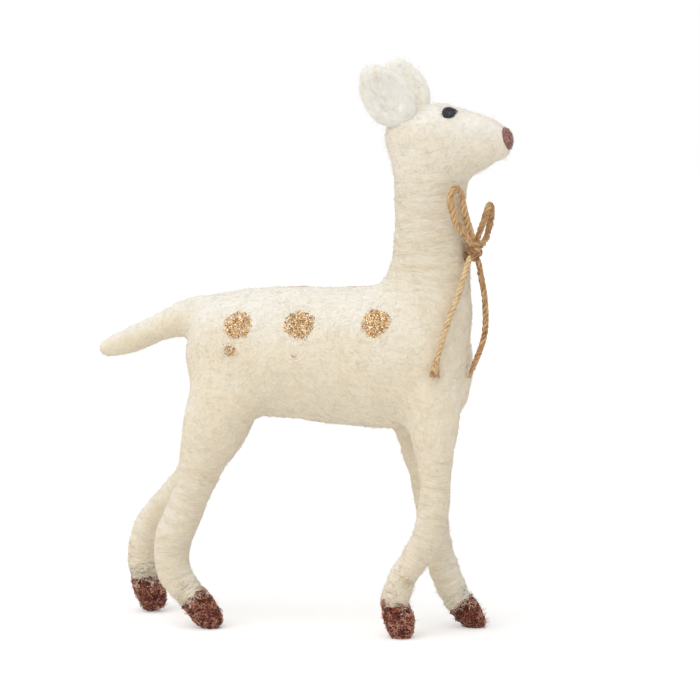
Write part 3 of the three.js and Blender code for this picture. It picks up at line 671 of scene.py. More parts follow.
def loft(form):
    # rings along the axis, with a dome on each end
    axis = axisOf(form)
    along, side, deep = axisFrames(axis)
    turn = fullTurn(56)
    power = 2 / form.get("square", 2)
    c = np.sign(np.cos(turn)) * np.abs(np.cos(turn)) ** power
    s = np.sign(np.sin(turn)) * np.abs(np.sin(turn)) ** power

    def ring(i, shift, share):
        middle = axis[i, :3] + along[i] * shift
        return middle + share * (np.outer(c, deep[i]) * axis[i, 3] + np.outer(s, side[i]) * axis[i, 4]) / 2

    start, end = form.get("startDome", legs["startDome"]), form.get("endDome", legs["endDome"])
    rings = domedRings(ring, len(axis), start, end, (80, 62, 42, 21), (21, 42, 62, 80))
    return closedForm(rings, [axis[0, :3] - along[0] * start, axis[-1, :3] + along[-1] * end])


def fused(parts, voxel):
    # closed forms that run into each other, felted into one skin of even small faces
    whole = joined(parts)
    mesh = bpy.data.meshes.new("felting")
    mesh.from_pydata(whole["verts"].tolist(), [], whole["faces"].tolist())
    rough = bpy.data.objects.new("felting", mesh)
    bpy.context.scene.collection.objects.link(rough)
    felt = rough.modifiers.new("felt", "REMESH")
    felt.mode = "VOXEL"
    felt.voxel_size = voxel
    made = rough.evaluated_get(bpy.context.evaluated_depsgraph_get()).to_mesh()
    made.calc_loop_triangles()
    verts = np.zeros(len(made.vertices) * 3)
    edges = np.zeros(len(made.edges) * 2, np.int64)
    faces = np.zeros(len(made.loop_triangles) * 3, np.int64)
    made.vertices.foreach_get("co", verts)
    made.edges.foreach_get("vertices", edges)
    made.loop_triangles.foreach_get("vertices", faces)
    bpy.data.objects.remove(rough)
    bpy.data.meshes.remove(mesh)
    return verts.reshape(-1, 3), edges.reshape(-1, 2), faces.reshape(-1, 3)


def relaxed(values, edges, passes, strength):
    # each point's values drawn towards the mean of its neighbours'
    n = len(values)
    count = np.maximum(np.bincount(edges.ravel(), minlength=n), 1)[:, None]
    a, b = edges.T
    for _ in range(passes):
        total = np.stack([np.bincount(a, column[b], n) + np.bincount(b, column[a], n) for column in values.T], 1)
        values = values + strength * (total / count - values)
    return values


def cornersOf(verts, faces):
    # the corners of each face, and its normal, as long as twice its area
    p, q, r = (verts[faces[:, k]] for k in range(3))
    return p, q, r, np.cross(q - p, r - p)


def normalsOf(verts, faces):
    square = cornersOf(verts, faces)[3]
    n = len(verts)
    total = sum(np.stack([np.bincount(faces[:, k], square[:, j], n) for j in range(3)], 1) for k in range(3))
    return unit(total)


def facingOf(skin, way):
    # how far each face looks that way, from -1 to 1
    return normalsOf(skin["verts"], skin["faces"])[skin["faces"][:, 0]] @ way


def windingOf(points, forms):
    # for each point: the form whose axis it belongs to, its place along and across that axis,
    # the way round the form there, and how much nearer it is than the next form
    n = len(points)
    best, second = np.full(n, 1e9), np.full(n, 1e9)
    owner, coord, around = np.zeros(n, int), np.zeros((n, 3)), np.zeros((n, 3))
    for number, form in enumerate(forms.values()):
        axis = evenLine(axisOf(form), 1.0)
        along, side, deep = axisFrames(axis)
        near, index = np.full(n, 1e9), np.zeros(n, int)
        for j in range(len(axis)):
            d = points - axis[j, :3]
            across, through = d @ side[j] / axis[j, 4] * 2, d @ deep[j] / axis[j, 3] * 2
            ahead = d @ along[j] / ((axis[j, 3] + axis[j, 4]) / 4)
            r = np.sqrt(across**2 + through**2 + ahead**2)
            closer = r < near
            near[closer], index[closer] = r[closer], j
        d = points - axis[index, :3]
        ahead, across, through = ((d * way[index]).sum(1) for way in (along, side, deep))
        here = np.stack([lengthsAlong(axis)[index] + ahead + 200 * number, across, through], 1)
        mine = near < best
        second = np.where(mine, best, np.minimum(second, near))
        best = np.where(mine, near, best)
        owner[mine], coord[mine] = number, here[mine]
        around[mine] = unit(np.cross(along[index], d))[mine]
    return owner, coord, around, np.clip(second - best, 0, 1)


wool = {
    "voxel": 0.6,
    "smoothing": 5,
    "creaseSmoothing": 150,  # passes, where one form runs into the next
    "creaseReach": 0.75,
    "lumps": ((13.0, 0.32), (5.0, 0.16), (2.6, 0.1)),  # wave and height
    "ridgeWave": (1.7, 11.0),  # across and along the winding
    "ridge": 0.28,
    "swirl": (9.0, 1.4),  # wave and reach of the bends in the winding
    "lowest": 0.02,
}


def woundShare(names, owner, points):
    # 1 where the wool is wound round the limb, 0 where it is only needled
    x, _, z = points.T
    shares = {
        "neck": stepUp(z, 98, 112) * (1 - 0.7 * stepUp(z, 134, 148)),
        "head": 0.2 * (1 - stepUp(x, 38, 54)),
        "tail": np.full(len(x), 0.4),
        "trunk": np.zeros(len(x)),
    }
    leg = 1 - stepUp(z, 46, 64)
    return np.choose(owner, [shares.get(name, leg) for name in names])


def toneAndPaintedLightOf(verts, faces):
    # painted light: the wool is painted paler where it faces up, as if lit from above, and the sides and the belly are
    # left at the darker side colour; it is also paler higher up the neck and on the head, and the edge between wanders
    # a little at random
    facing = normalsOf(verts, faces)[:, 2] + 0.22 * noiseAt(verts, 11.0, 12)
    return (0.8 * stepUp(facing, -0.15, 0.95) + 0.3 * stepUp(verts[:, 2], 115, 155)).clip(0, 0.85)


def feltSkin(forms):
    verts, edges, faces = fused([loft(form) for form in forms.values()], wool["voxel"])
    verts = relaxed(verts, edges, wool["smoothing"], 0.5)
    owner, coord, around, apart = windingOf(verts, forms)
    crease = relaxed(1 - stepUp(apart, 0.0, wool["creaseReach"])[:, None], edges, 6, 0.5)
    verts = relaxed(verts, edges, wool["creaseSmoothing"], 0.5 * crease)
    share = relaxed(woundShare(list(forms), owner, verts)[:, None], edges, 8, 0.5)[:, 0]
    lift = sum(height * noiseAt(verts, wave, k) for k, (wave, height) in enumerate(wool["lumps"]))
    across, along = wool["ridgeWave"]
    wave, reach = wool["swirl"]
    bent = coord.copy()
    bent[:, 0] += reach * noiseAt(verts, wave, 7)
    ridge = noiseAt(bent * np.array([1 / across, 1 / along, 1 / along]), 1.0, 5)
    lift = lift + wool["ridge"] * ridge * (0.25 + 0.75 * share)
    verts = verts + normalsOf(verts, faces) * lift[:, None]
    verts[:, 2] = np.maximum(verts[:, 2], wool["lowest"])
    skin = {"verts": verts, "faces": faces, "windCoord": coord, "wound": share, "toneAndPaintedLight": toneAndPaintedLightOf(verts, faces)}
    return skin, around


bodySkin, bodyAround = feltSkin(body)
print("felted body of", len(bodySkin["faces"]), "faces")

ear = {
    "root": (34.3, 5.8, 157.0),
    "length": 22.3,
    "width": 15.2,
    "thickness": 4.2,
    "baseRound": 1.6,
    "tipRound": 1.5,
    # up the leaf, and its share of the width and of the thickness there
    "shares": [(0, 0.46, 0.95), (0.2, 0.88, 1), (0.45, 1, 1), (0.72, 0.87, 0.86), (0.9, 0.64, 0.66), (1, 0.4, 0.5)],
    "splay": 13,  # degrees
    "lean": {-1: 37, 1: 26},  # degrees back, right and left
    "hollow": 0.65,
    "hollowShape": (14.4, 9.5, 9.4),  # length, width, and its middle above the root
    "bow": 0.012,  # how much the leaf curls round its own axis
    "voxel": 0.42,
    "curl": {"place": (1.4, 3.4), "size": (1.6, 2.0, 1.3), "out": 1.75},
    "pinch": {"place": (-1.6, 5.6), "size": (1.1, 4.6), "depth": 0.7},
}


def earLobe(side):
    # a small ball of wool by the ear's root
    (x, z), (wide, high, thick) = ear["curl"]["place"], ear["curl"]["size"]
    turns, steps = np.arange(20) * math.pi / 10, np.radians(np.arange(15, 180, 15))
    rings = [[(math.cos(t) * math.sin(a), math.sin(t) * math.sin(a), math.cos(a)) for t in turns] for a in steps]
    lobe = closedForm(rings, [(0, 0, 1), (0, 0, -1)])
    lobe["verts"] = lobe["verts"] * np.array([wide, thick, high]) + np.array([x, side * ear["curl"]["out"], z])
    return lobe


def earLeaf(side, straight):
    # a flat leaf of felt that stands upright, a little hollow on its outer face and pinched into a fold
    stations = smoothLine([(0, 0, up * straight, wide, thick) for up, wide, thick in ear["shares"]], 7)
    turn = fullTurn(64)
    flat = np.sign(np.sin(turn)) * np.abs(np.sin(turn)) ** 0.8

    def ring(i, shift, share):
        z, wide, thick = stations[i, 2] + shift, stations[i, 3] * share, stations[i, 4] * share
        across, through = np.cos(turn) * wide * ear["width"] / 2, flat * thick * ear["thickness"] / 2
        return np.stack([across, through, np.full(len(turn), z)], 1)

    below, above = ear["baseRound"], ear["tipRound"]
    rings = domedRings(ring, len(stations), below, above, (82, 66, 46, 23), (23, 46, 66, 82))
    leaf = closedForm(rings, [(0, 0, -below), (0, 0, stations[-1, 2] + above)])
    x, y, z = leaf["verts"].T
    long, wide, middle = ear["hollowShape"]
    hollow = ear["hollow"] * np.clip(1 - (x / wide * 2) ** 2 - ((z - middle) / long * 2) ** 2, 0, 1) ** 0.8
    (foldX, foldZ), (foldWide, foldHigh) = ear["pinch"]["place"], ear["pinch"]["size"]
    hollow += ear["pinch"]["depth"] * np.exp(-(((x - foldX) / foldWide) ** 2) - ((z - foldZ) / foldHigh) ** 2)
    # the outer face is at -y on the right ear and at +y on the left
    y = np.where(y * side > 0, y - side * hollow, y)
    leaf["verts"] = np.stack([x, y + side * ear["bow"] * x**2, z], 1)
    return leaf


def earSkin(side):
    straight = ear["length"] - ear["baseRound"] - ear["tipRound"]
    verts, edges, faces = fused([earLeaf(side, straight), earLobe(side)], ear["voxel"])
    verts = relaxed(verts, edges, 6, 0.5)
    lift = 0.28 * noiseAt(verts, 6.0, 3 + side) + 0.12 * noiseAt(verts, 2.4, 8 + side)
    verts = verts + normalsOf(verts, faces) * lift[:, None]
    tip = stepUp(verts[:, 2] / straight, 0.2, 0.9)
    # tilted outwards, then back
    x, y, z = verts.T
    splay, lean = math.radians(ear["splay"]), math.radians(ear["lean"][side])
    sine, cosine = math.sin(-side * splay), math.cos(splay)
    y, z = y * cosine - z * sine, y * sine + z * cosine
    sine, cosine = math.sin(-lean), math.cos(lean)
    x, z = x * cosine + z * sine, z * cosine - x * sine
    rootX, rootY, rootZ = ear["root"]
    verts = np.stack([x + rootX, y + side * rootY, z + rootZ], 1)
    # the inner face of each leaf lies in shade between the ears, so its wool looks warmer
    inner = np.clip(normalsOf(verts, faces)[:, 1] * -side, 0, 1)
    # painted light: the ears' wool is set paler than the body's, and paler towards the tip; the inner face is painted
    # darker as painted shade
    toneAndPaintedLight = (1.25 - 0.6 * inner + 0.2 * tip).clip(0, 1.3)
    wound = np.zeros(len(verts))
    return {"verts": verts, "faces": faces, "windCoord": verts * 1.0, "wound": wound, "toneAndPaintedLight": toneAndPaintedLight}


earRightSkin, earLeftSkin = earSkin(-1), earSkin(1)
print("ears shaped")


# ---- wool materials
creamLook = {
    # painted light: pale is the colour where the wool faces up and ear the colour of the ears, both lighter than the
    # sides as painted light (on the ears, for light through the thin leaves); side, for the sides and the belly, is
    # set light too, to make up for the shade under the belly
    "ear": (255, 248, 237),
    "pale": (250, 246, 236),
    "side": (244, 231, 205),
    "warm": (222, 203, 168),
    "peach": (242, 218, 188),
    "depth": 0.24,
    "finish": {"Roughness": 0.95, "Sheen Weight": 0.25, "Sheen Roughness": 0.6, "Specular IOR Level": 0.15},
    # light passes through the thin leaves of the ears
    "earFinish": {"Subsurface Weight": 0.6, "Subsurface Radius": (1.0, 1.0, 1.0), "Subsurface Scale": 1.2 * mm},
}


def creamMaterial(name, mottle, finish):
    # mottle is how far the threads show; finish is added to what all the cream wool has
    material, tree = startMaterial(name)
    place = placeOn(tree)
    wound = field(tree, "wound")
    drift = node(tree, "ShaderNodeTexNoise", {"Vector": place, "Scale": 130.0, "Detail": 1.0}).outputs["Color"]
    inputs = {0: drift, 1: (2.6, 0.0, 0.0), 2: field(tree, "windCoord", "Vector")}
    wind = node(tree, "ShaderNodeVectorMath", inputs, operation="MULTIPLY_ADD").outputs[0]
    threads = grain(tree, wind, 1.0, (2.6, 0.16, 0.16), 5.0, 0.62)
    fineThreads = grain(tree, wind, 1.0, (6.5, 0.4, 0.4), 3.0, 0.6)
    wrapped = weighed(tree, threads, 0.6, fineThreads, 0.4)
    # needled wool: short fibres lying every way, from noise stretched one way and the other
    matted = grain(tree, place, 1.0, (900, 900, 300), 4.0, 0.65, 1.6)
    mattedAcross = grain(tree, place, 1.0, (320, 900, 1000), 4.0, 0.65, 1.8)
    felted = weighed(tree, matted, 0.5, mattedAcross, 0.5)
    fibre = node(tree, "ShaderNodeMix", {"Factor": wound, 2: felted, 3: wrapped}, data_type="FLOAT").outputs[0]
    clouds = scaled(tree, grain(tree, place, 95), 0.36, -0.18)
    # painted light: the per-point level of painted light moves the colour from the side colour up to the pale and ear
    # colours, with random clouds on top
    tone = sums(tree, "ADD", field(tree, "toneAndPaintedLight"), clouds)
    colour = ramp(tree, tone, (0.0, creamLook["side"]), (0.8, creamLook["pale"]), (1.0, creamLook["ear"]))
    threadColour = ramp(tree, fibre, (0.3, creamLook["warm"]), (0.52, (255, 255, 255)))
    colour = mixed(tree, scaled(tree, wound, 0.4, mottle), colour, threadColour, "MULTIPLY")
    streaks = ramp(tree, grain(tree, wind, 1.0, (0.5, 0.07, 0.07), 2.0), (0.58, (0, 0, 0)), (0.74, (255, 255, 255)))
    colour = mixed(tree, sums(tree, "MULTIPLY", streaks, 0.35), colour, linear(*creamLook["peach"]))
    height = sums(tree, "MULTIPLY", fibre, scaled(tree, wound, 0.8, 0.65))
    finishMaterial(tree, colour, height, creamLook["depth"], {**creamLook["finish"], **finish})
    return material


def woolMaterial(name, dark, mid, light, depth, scale):
    # dyed felt for the small parts
    material, tree = startMaterial(name)
    matted = grain(tree, placeOn(tree), scale, detail=4.0, roughness=0.65, distortion=1.5)
    tone = sums(tree, "ADD", matted, scaled(tree, field(tree, "shade"), 0.6, -0.3))
    colour = ramp(tree, tone, (0.25, dark), (0.5, mid), (0.78, light))
    finish = {"Roughness": 0.9, "Sheen Weight": 0.2, "Sheen Roughness": 0.5, "Specular IOR Level": 0.2}
    finishMaterial(tree, colour, matted, depth, finish)
    return material


def strandMaterial(name, *shades):
    # loose fibres: each has its own shade, with a little change along it
    material, tree = startMaterial(name)
    along = grain(tree, placeOn(tree), 400, detail=1.0)
    tone = weighed(tree, along, 0.4, field(tree, "shade"), 0.8)
    colour = ramp(tree, tone, *zip(np.linspace(0.15, 0.85, len(shades)).tolist(), shades))
    finish = {"Roughness": 0.85, "Sheen Weight": 0.2, "Sheen Roughness": 0.5, "Specular IOR Level": 0.2}
    finishMaterial(tree, colour, None, 0, finish)
    return material


cream, earCream = creamMaterial("creamWool", 0.36, {}), creamMaterial("earWool", 0.12, creamLook["earFinish"])
looseCream = strandMaterial("looseCreamWool", (238, 226, 200), (255, 251, 242))
woundCream = strandMaterial("woundCreamWool", (206, 186, 150), (238, 226, 200), (255, 251, 241))

bodyNodes = ["trunk_coat", "trunk_core", "neck", "head"]
bodyNodes += ["front_leg_right", "front_leg_left", "hind_leg_right", "hind_leg_left", "tail"]
makePadded("feltBody", bodySkin, cream, "wool_cream", *bodyNodes)
makePadded("earRight", earRightSkin, earCream, "wool_cream", "ear_right")
makePadded("earLeft", earLeftSkin, earCream, "wool_cream", "ear_left")
print("wool body and ears made")


def treeOf(part):
    return BVHTree.FromPolygons(part["verts"].tolist(), part["faces"].tolist())


bodyTree = treeOf(bodySkin)


def nearestOn(tree, points):
    # the nearest place on a skin to each point, and the way that the skin faces there
    return [tree.find_nearest(Vector(p))[:2] for p in points]


def ontoBody(points, lift):
    # the nearest places on the body's wool, raised by lift
    lifts = np.broadcast_to(lift, len(points))
    return np.array([place + normal * float(h) for (place, normal), h in zip(nearestOn(bodyTree, points), lifts)])


def linesOntoBody(lines, lift):
    # lift is one number, or one for each line
    lifts = np.repeat(np.broadcast_to(lift, len(lines)), lines.shape[1])
    return ontoBody(lines.reshape(-1, 3), lifts).reshape(lines.shape)


def scattered(skin, count, rng):
    # random places spread evenly over a skin, the way it faces there, and a point of it close by
    p, q, r, square = cornersOf(skin["verts"], skin["faces"])
    area = np.linalg.norm(square, axis=1)
    pick = rng.choice(len(area), count, p=area / area.sum())
    a, b = rng.random((2, count, 1))
    flip = a + b > 1
    a, b = np.where(flip, 1 - a, a), np.where(flip, 1 - b, b)
    place = p[pick] + a * (q[pick] - p[pick]) + b * (r[pick] - p[pick])
    return place, unit(square[pick]), skin["faces"][pick, 0]


def facesOf(skin, kept):
    return {"verts": skin["verts"], "faces": skin["faces"][kept]}


def flattened(ways, normal):
    # ways turned to lie along a skin
    return unit(ways - (ways * normal).sum(1, keepdims=True) * normal)


def standing(place, heading, normal, length, rise, bend, points, late):
    # fibres that follow their heading, rise off the skin (later where late is large) and bend sideways
    t = np.linspace(0, 1, points)[None, :, None]
    sideways = np.cross(normal, heading)[:, None]
    lying = place[:, None] + heading[:, None] * length * t
    return lying + normal[:, None] * length * rise * t**late + sideways * length * bend * t**2


def creeping(tree, place, normal, heading, step, swing, count):
    # points, normals and headings of strands that keep to a skin and swing to one side as they go
    points, normals, headings = [place], [normal], [heading]
    for _ in range(count - 1):
        ahead = headings[-1]
        spots, up = (np.array(found) for found in zip(*nearestOn(tree, points[-1] + ahead * step)))
        points.append(spots)
        normals.append(up)
        headings.append(flattened(ahead + swing * np.cross(up, ahead), up))
    return (np.stack(values, 1) for values in (points, normals, headings))


def roundLimb(axis, at, turn, shift):
    # lines round a limb; its deep side faces forwards on the neck and backwards on the legs
    along, side, deep = axisFrames(axis)
    spoke = np.cos(turn)[:, :, None] * deep[at, None] * axis[at, None, 3:4]
    spoke = spoke + np.sin(turn)[:, :, None] * side[at, None] * axis[at, None, 4:5]
    return axis[at, None, :3] + along[at, None] * shift[:, :, None] + spoke / 2


# ---- strands wound round the limbs
winding = {
    # how many, the heights between which they lie, and how far they rise towards the front (mean, spread)
    "limbs": {
        "neck": (700, (104, 150), (2.6, 1.3)),
        "frontLegRight": (520, (8, 60), (-0.3, 0.9)),
        "frontLegLeft": (520, (6, 60), (-0.6, 0.9)),
        "hindLegRight": (520, (7, 64), (0.5, 1.0)),
        "hindLegLeft": (380, (9, 60), (0.3, 0.9)),
    },
    "points": 13,  # along each strand
    "arc": (40, 130),  # degrees
    "radius": (0.036, 0.082),
    "sink": 0.042,
}


def windStrands():
    rng = np.random.default_rng(21)
    parts = []
    for name, (count, (low, high), (rise, spread)) in winding["limbs"].items():
        axis = evenLine(axisOf(body[name]), 0.5)
        inside = np.flatnonzero((axis[:, 2] > low) & (axis[:, 2] < high))
        z = axis[inside, 2]
        # fewer towards the ends of the winding
        weight = stepUp(high - z, -2, 16)
        if name == "neck":
            weight = stepUp(z, low - 2, low + 12) * stepUp(high - z, -2, 14)
        at = rng.choice(inside, count, p=weight / weight.sum())
        begin = rng.uniform(0, 2 * math.pi, (count, 1))
        arc = np.radians(rng.uniform(*winding["arc"], count)) * rng.choice([-1, 1], count)
        climb = rng.normal(rise, spread, (count, 1))
        turn = begin + arc[:, None] * np.linspace(0, 1, winding["points"])
        wave = 0.3 * np.sin(turn * 2.6 + rng.uniform(0, 6, (count, 1)))
        wave = wave + 0.12 * np.sin(turn * 7 + rng.uniform(0, 6, (count, 1)))
        radius = rng.uniform(*winding["radius"], count)
        lines = roundLimb(axis, at, turn, climb * np.cos(turn) + wave)
        lines = linesOntoBody(lines, radius * 0.4 - winding["sink"])
        parts.append(fibres(lines, radius, rng.uniform(0.0, 1, count)))
    return joined(parts)


makePiece("woundStrands", windStrands(), woundCream)
print("strands wound")


# ---- combed fibres that lie in the felt
combed = {
    "body": 15000,
    "ear": 300,
    "steps": 7,
    "length": (2.4, 6.5),
    "radius": (0.034, 0.062),
    "swirl": (19.0, 1.1),  # wave of the swirls and how far they turn, in radians
    "messy": 0.38,  # radians that each fibre strays from its neighbours
}


def combedFibres(skin, count, seed, heading):
    # each fibre creeps over the skin the way that the wool was laid
    rng = np.random.default_rng(seed)
    place, normal, vertex = scattered(skin, count, rng)
    wave, swirl = combed["swirl"]
    loose = 1 - 0.8 * skin["wound"][vertex]
    turn = swirl * noiseAt(place, wave, 14) * loose + rng.normal(0, combed["messy"], count)
    ahead = flattened(heading(place, vertex) * rng.choice([-1, 1], (count, 1)), normal)
    ahead = turned(turn, ahead, np.cross(normal, ahead))
    step = (rng.uniform(*combed["length"], count) / (combed["steps"] - 1))[:, None]
    swing = rng.normal(0, 0.12, (count, 1))
    radius = rng.uniform(*combed["radius"], count)
    points, _, _ = creeping(treeOf(skin), place, normal, ahead, step, swing, combed["steps"])
    # painted light: each fibre is paler where the wool under it is painted lighter, with a random spread
    shade = 0.2 + 0.65 * skin["toneAndPaintedLight"][vertex] + rng.normal(0, 0.18, count)
    return fibres(points, radius, shade.clip(0, 1))


def bodyHeading(place, vertex):
    # lengthways on the trunk and the face, round the limbs, and up from the neck to the jaw
    wound = stepUp(bodySkin["wound"][vertex], 0.1, 0.6)[:, None]
    jaw = (stepUp(place[:, 2], 128, 140) * stepUp(place[:, 0], 34, 46))[:, None]
    lengthways = np.array([1.0, 0.0, 0.05]) + jaw * np.array([-0.2, 0.0, 0.6])
    roundWay = bodyAround[vertex] * np.where(bodyAround[vertex][:, :1] < 0, -1, 1)
    return unit(lengthways * (1 - wound) + roundWay * wound)


def earHeading(place, vertex):
    # up the ear, with some waves
    ways = np.repeat([[-0.5, 0.0, 0.9]], len(place), 0)
    ways[:, 0] += 0.4 * noiseAt(place, 6.0, 15)
    return ways


def makeShares(name, part, points):
    # a heavy part as several pieces, each of whole fibres; points is how many each fibre has along it
    each = 6 * (points - 2)
    most = 190000 // each * each
    for number, start in enumerate(range(0, len(part["faces"]), most)):
        faces = part["faces"][start : start + most]
        low, high = faces.min(), faces.max() + 1
        share = {"verts": part["verts"][low:high], "faces": faces - low, "shade": part["shade"][low:high]}
        makePiece(name + str(number + 1), share, looseCream)


makeShares("bodyCombed", combedFibres(bodySkin, combed["body"], 35, bodyHeading), combed["steps"])
for name, skin, seed in (("earRightCombed", earRightSkin, 37), ("earLeftCombed", earLeftSkin, 38)):
    makePiece(name, combedFibres(skin, combed["ear"], seed, earHeading), looseCream)
print("fibres combed in")


# ---- loose fuzz
fuzz = {
    "perSquare": 1.6,  # fibres for each square millimetre
    "points": 5,  # along each fibre
    "root": 0.03,  # how deep a fibre starts in the wool
    "length": (0.9, 3.0),
    "radius": (0.02, 0.04),
    "rise": 0.5,  # how far a fibre's end stands off, at most, as a share of its length
    "strays": 0.06,  # share that stands further off
    "strayRise": (0.25, 0.6),
}


def fuzzOn(skin, around, seed):
    # short loose fibres; around is the way of the winding, or None where there is none
    rng = np.random.default_rng(seed)
    area = np.linalg.norm(cornersOf(skin["verts"], skin["faces"])[3], axis=1).sum() / 2
    count = int(area * fuzz["perSquare"])
    place, normal, vertex = scattered(skin, count, rng)
    heading = free = unit(np.cross(normal, rng.normal(size=(count, 3))))
    if around is not None:
        wound = (0.15 + 0.85 * skin["wound"][vertex])[:, None]
        heading = unit(free * (1 - wound) + around[vertex] * rng.choice([-1, 1], (count, 1)) * wound + 0.35 * free)
        heading = flattened(heading, normal)
    length = rng.uniform(*fuzz["length"], (count, 1, 1))
    stray = rng.random((count, 1, 1)) < fuzz["strays"]
    strayRise = rng.uniform(*fuzz["strayRise"], (count, 1, 1))
    rise = np.where(stray, strayRise, rng.uniform(0.02, 1, (count, 1, 1)) ** 2 * fuzz["rise"])
    bend = rng.normal(0, 0.22, (count, 1, 1))
    root = place - fuzz["root"] * normal
    lines = standing(root, heading, normal, length, rise, bend, fuzz["points"], 1.4)
    # painted light: each fibre is paler where the wool under it is painted lighter, with a random spread
    shade = 0.2 + 0.45 * skin["toneAndPaintedLight"][vertex] + 0.45 * rng.random(count)
    return fibres(lines, rng.uniform(*fuzz["radius"], count), shade.clip(0, 1))


makeShares("bodyFuzz", fuzzOn(bodySkin, bodyAround, 31), fuzz["points"])
for name, skin, seed in (("earRightFuzz", earRightSkin, 33), ("earLeftFuzz", earLeftSkin, 34)):
    makePiece(name, fuzzOn(skin, None, seed), looseCream)
print("fuzz grown on")


# ---- brown wool hooves
hooves = {
    # darkness is how few of the curls are pale, and so how few carry painted glints
    # x, z and width down each hoof; rise is how far its rim laps up the leg, slope how much more at the back
    "frontHoofRight": {
        "node": "front_hoof_right",
        "leg": "frontLegRight",
        "form": [(32.2, 10.0, 7.9), (32.75, 7.8, 8.4), (33.35, 5.6, 8.4), (33.9, 3.1, 7.8), (34.4, 1.5, 6.6)],
        "rise": 1.3,
        "slope": 1.1,
        "curls": 430,
        "wisps": 16,
        "darkness": 1.2,
    },
    "frontHoofLeft": {
        "node": "front_hoof_left",
        "leg": "frontLegLeft",
        "form": [(48.2, 6.8, 7.9), (49.6, 5.3, 7.5), (50.8, 3.9, 7.2), (51.9, 2.7, 6.6), (52.9, 1.9, 5.4)],
        "rise": -0.1,
        "slope": 0.9,
        "curls": 380,
        "wisps": 110,
        "darkness": 2.6,
    },
    "hindHoofRight": {
        "node": "hind_hoof_right",
        "leg": "hindLegRight",
        "form": [(-31.9, 8.8, 8.5), (-30.6, 7.2, 8.5), (-29.2, 5.5, 8.4), (-27.6, 3.8, 7.9), (-26.2, 2.3, 6.6)],
        "rise": 0.4,
        "slope": 0.3,
        "curls": 430,
        "wisps": 20,
        "darkness": 1.5,
    },
    "hindHoofLeft": {
        "node": "hind_hoof_left",
        "leg": "hindLegLeft",
        "form": [(-55.3, 10.4, 8.3), (-54.5, 8.7, 8.7), (-53.6, 6.8, 8.9), (-52.8, 4.8, 8.6), (-52.3, 2.9, 7.4)],
        "rise": 0.4,
        "slope": 0.9,
        "curls": 410,
        "wisps": 6,
        "darkness": 1.9,
    },
}
hoofWool = {
    "lap": 0.14,  # how far the rim stands off the leg
    "ragged": 0.55,
    "dome": 2.4,
    "voxel": 0.4,
    "lowest": 0.15,
    "curlLength": (2.2, 5.2),
    "curlRadius": (0.07, 0.135),
    "curlPoints": 24,
    "coil": (0.16, 0.42),
    "coilPitch": (0.9, 1.9),
    "loose": 0.16,  # share of the curls that leave the felt
    "creamCurls": 34,
    "creamBand": (-0.5, 3.4),  # below the rim
    "creamLoose": 0.1,
    "wispLength": (0.8, 2.4),
}
brownFelt = woolMaterial("brownWool", (50, 20, 14), (104, 46, 32), (164, 88, 64), 0.5, 900)
# the palest curls stand partly for pale fibres and partly for painted glints
brownCurls = strandMaterial("brownCurls", (88, 38, 27), (172, 90, 64), (250, 190, 158))


def hoofSkin(hoof, seed):
    # a tapered cup of felt whose ragged rim laps over the end of the leg
    leg = axisOf(body[hoof["leg"]])
    direction = unit(leg[-1, :3] - leg[-3, :3])
    rim = leg[-1, :3] - direction * hoof["rise"]
    rimWidth = leg[-1, 3] + 2 * hoofWool["lap"]
    stations = [(*rim, rimWidth, rimWidth)] + [(x, leg[-1, 1], z, wide, wide) for x, z, wide in hoof["form"]]
    axis = smoothLine(stations, 6)
    along, side, deep = axisFrames(axis)
    turn = fullTurn(40)

    def ring(i, shift, share):
        spoke = np.outer(np.cos(turn), deep[i]) + np.outer(np.sin(turn), side[i])
        return axis[i, :3] + along[i] * shift + share * axis[i, 3] / 2 * spoke

    dome = hoofWool["dome"]
    rings = [ring(0, 1.2, 0.3), ring(0, 0.6, 0.75)] + domedRings(ring, len(axis), 0, dome, (), (20, 40, 58, 74, 85))
    cup = closedForm(rings, [axis[0, :3] + along[0] * 1.3, axis[-1, :3] + along[-1] * dome])
    # the rim is tilted and frayed; the legs' deep side faces backwards
    down = (cup["verts"] - rim) @ direction
    backwards = (cup["verts"] - rim) @ deep[0] / rimWidth * 2
    shift = hoof["slope"] * backwards + hoofWool["ragged"] * noiseAt(cup["verts"], 1.6, seed)
    shift = shift * (1 - stepUp(down, 0, 3.5))
    cup["verts"] = cup["verts"] - shift[:, None] * direction
    verts, edges, faces = fused([cup], hoofWool["voxel"])
    verts = relaxed(verts, edges, 4, 0.5)
    lift = 0.22 * noiseAt(verts, 2.6, 4 + seed) + 0.16 * noiseAt(verts, 1.1, 6 + seed)
    verts = verts + normalsOf(verts, faces) * lift[:, None]
    verts[:, 2] = np.maximum(verts[:, 2], hoofWool["lowest"])
    return {"verts": verts, "faces": faces, "shade": np.full(len(verts), 0.35)}, rim, direction


def curlsOn(skin, count, rng, leave, darkness):
    # crimped strands that wander over the skin; leave is the share whose ends come away from it
    place, normal, _ = scattered(skin, count, rng)
    k = hoofWool["curlPoints"]
    heading = unit(np.cross(normal, rng.normal(size=(count, 3))))
    length = rng.uniform(*hoofWool["curlLength"], (count, 1))
    swing = rng.normal(0, 0.2, (count, 1))
    points, normals, headings = creeping(treeOf(skin), place, normal, heading, length / k, swing, k)
    t = np.linspace(0, 1, k)
    phase = 2 * math.pi * length * t / rng.uniform(*hoofWool["coilPitch"], (count, 1)) + rng.uniform(0, 6, (count, 1))
    coil = rng.uniform(*hoofWool["coil"], (count, 1))
    off = rng.uniform(-0.1, 0.22, (count, 1))
    loose = (rng.random((count, 1)) < leave) * rng.uniform(0.3, 1.0, (count, 1)) * t**2
    lines = (
        points
        + normals * (off + coil * (0.5 + 0.6 * np.cos(phase)) + loose)[:, :, None]
        + np.cross(normals, headings) * (coil * np.sin(phase))[:, :, None]
    )
    lines[:, :, 2] = np.maximum(lines[:, :, 2], 0.14)
    # darkness thins out the palest curls, which are partly painted glints
    return fibres(lines, rng.uniform(*hoofWool["curlRadius"], count), rng.uniform(0, 1, count) ** darkness)


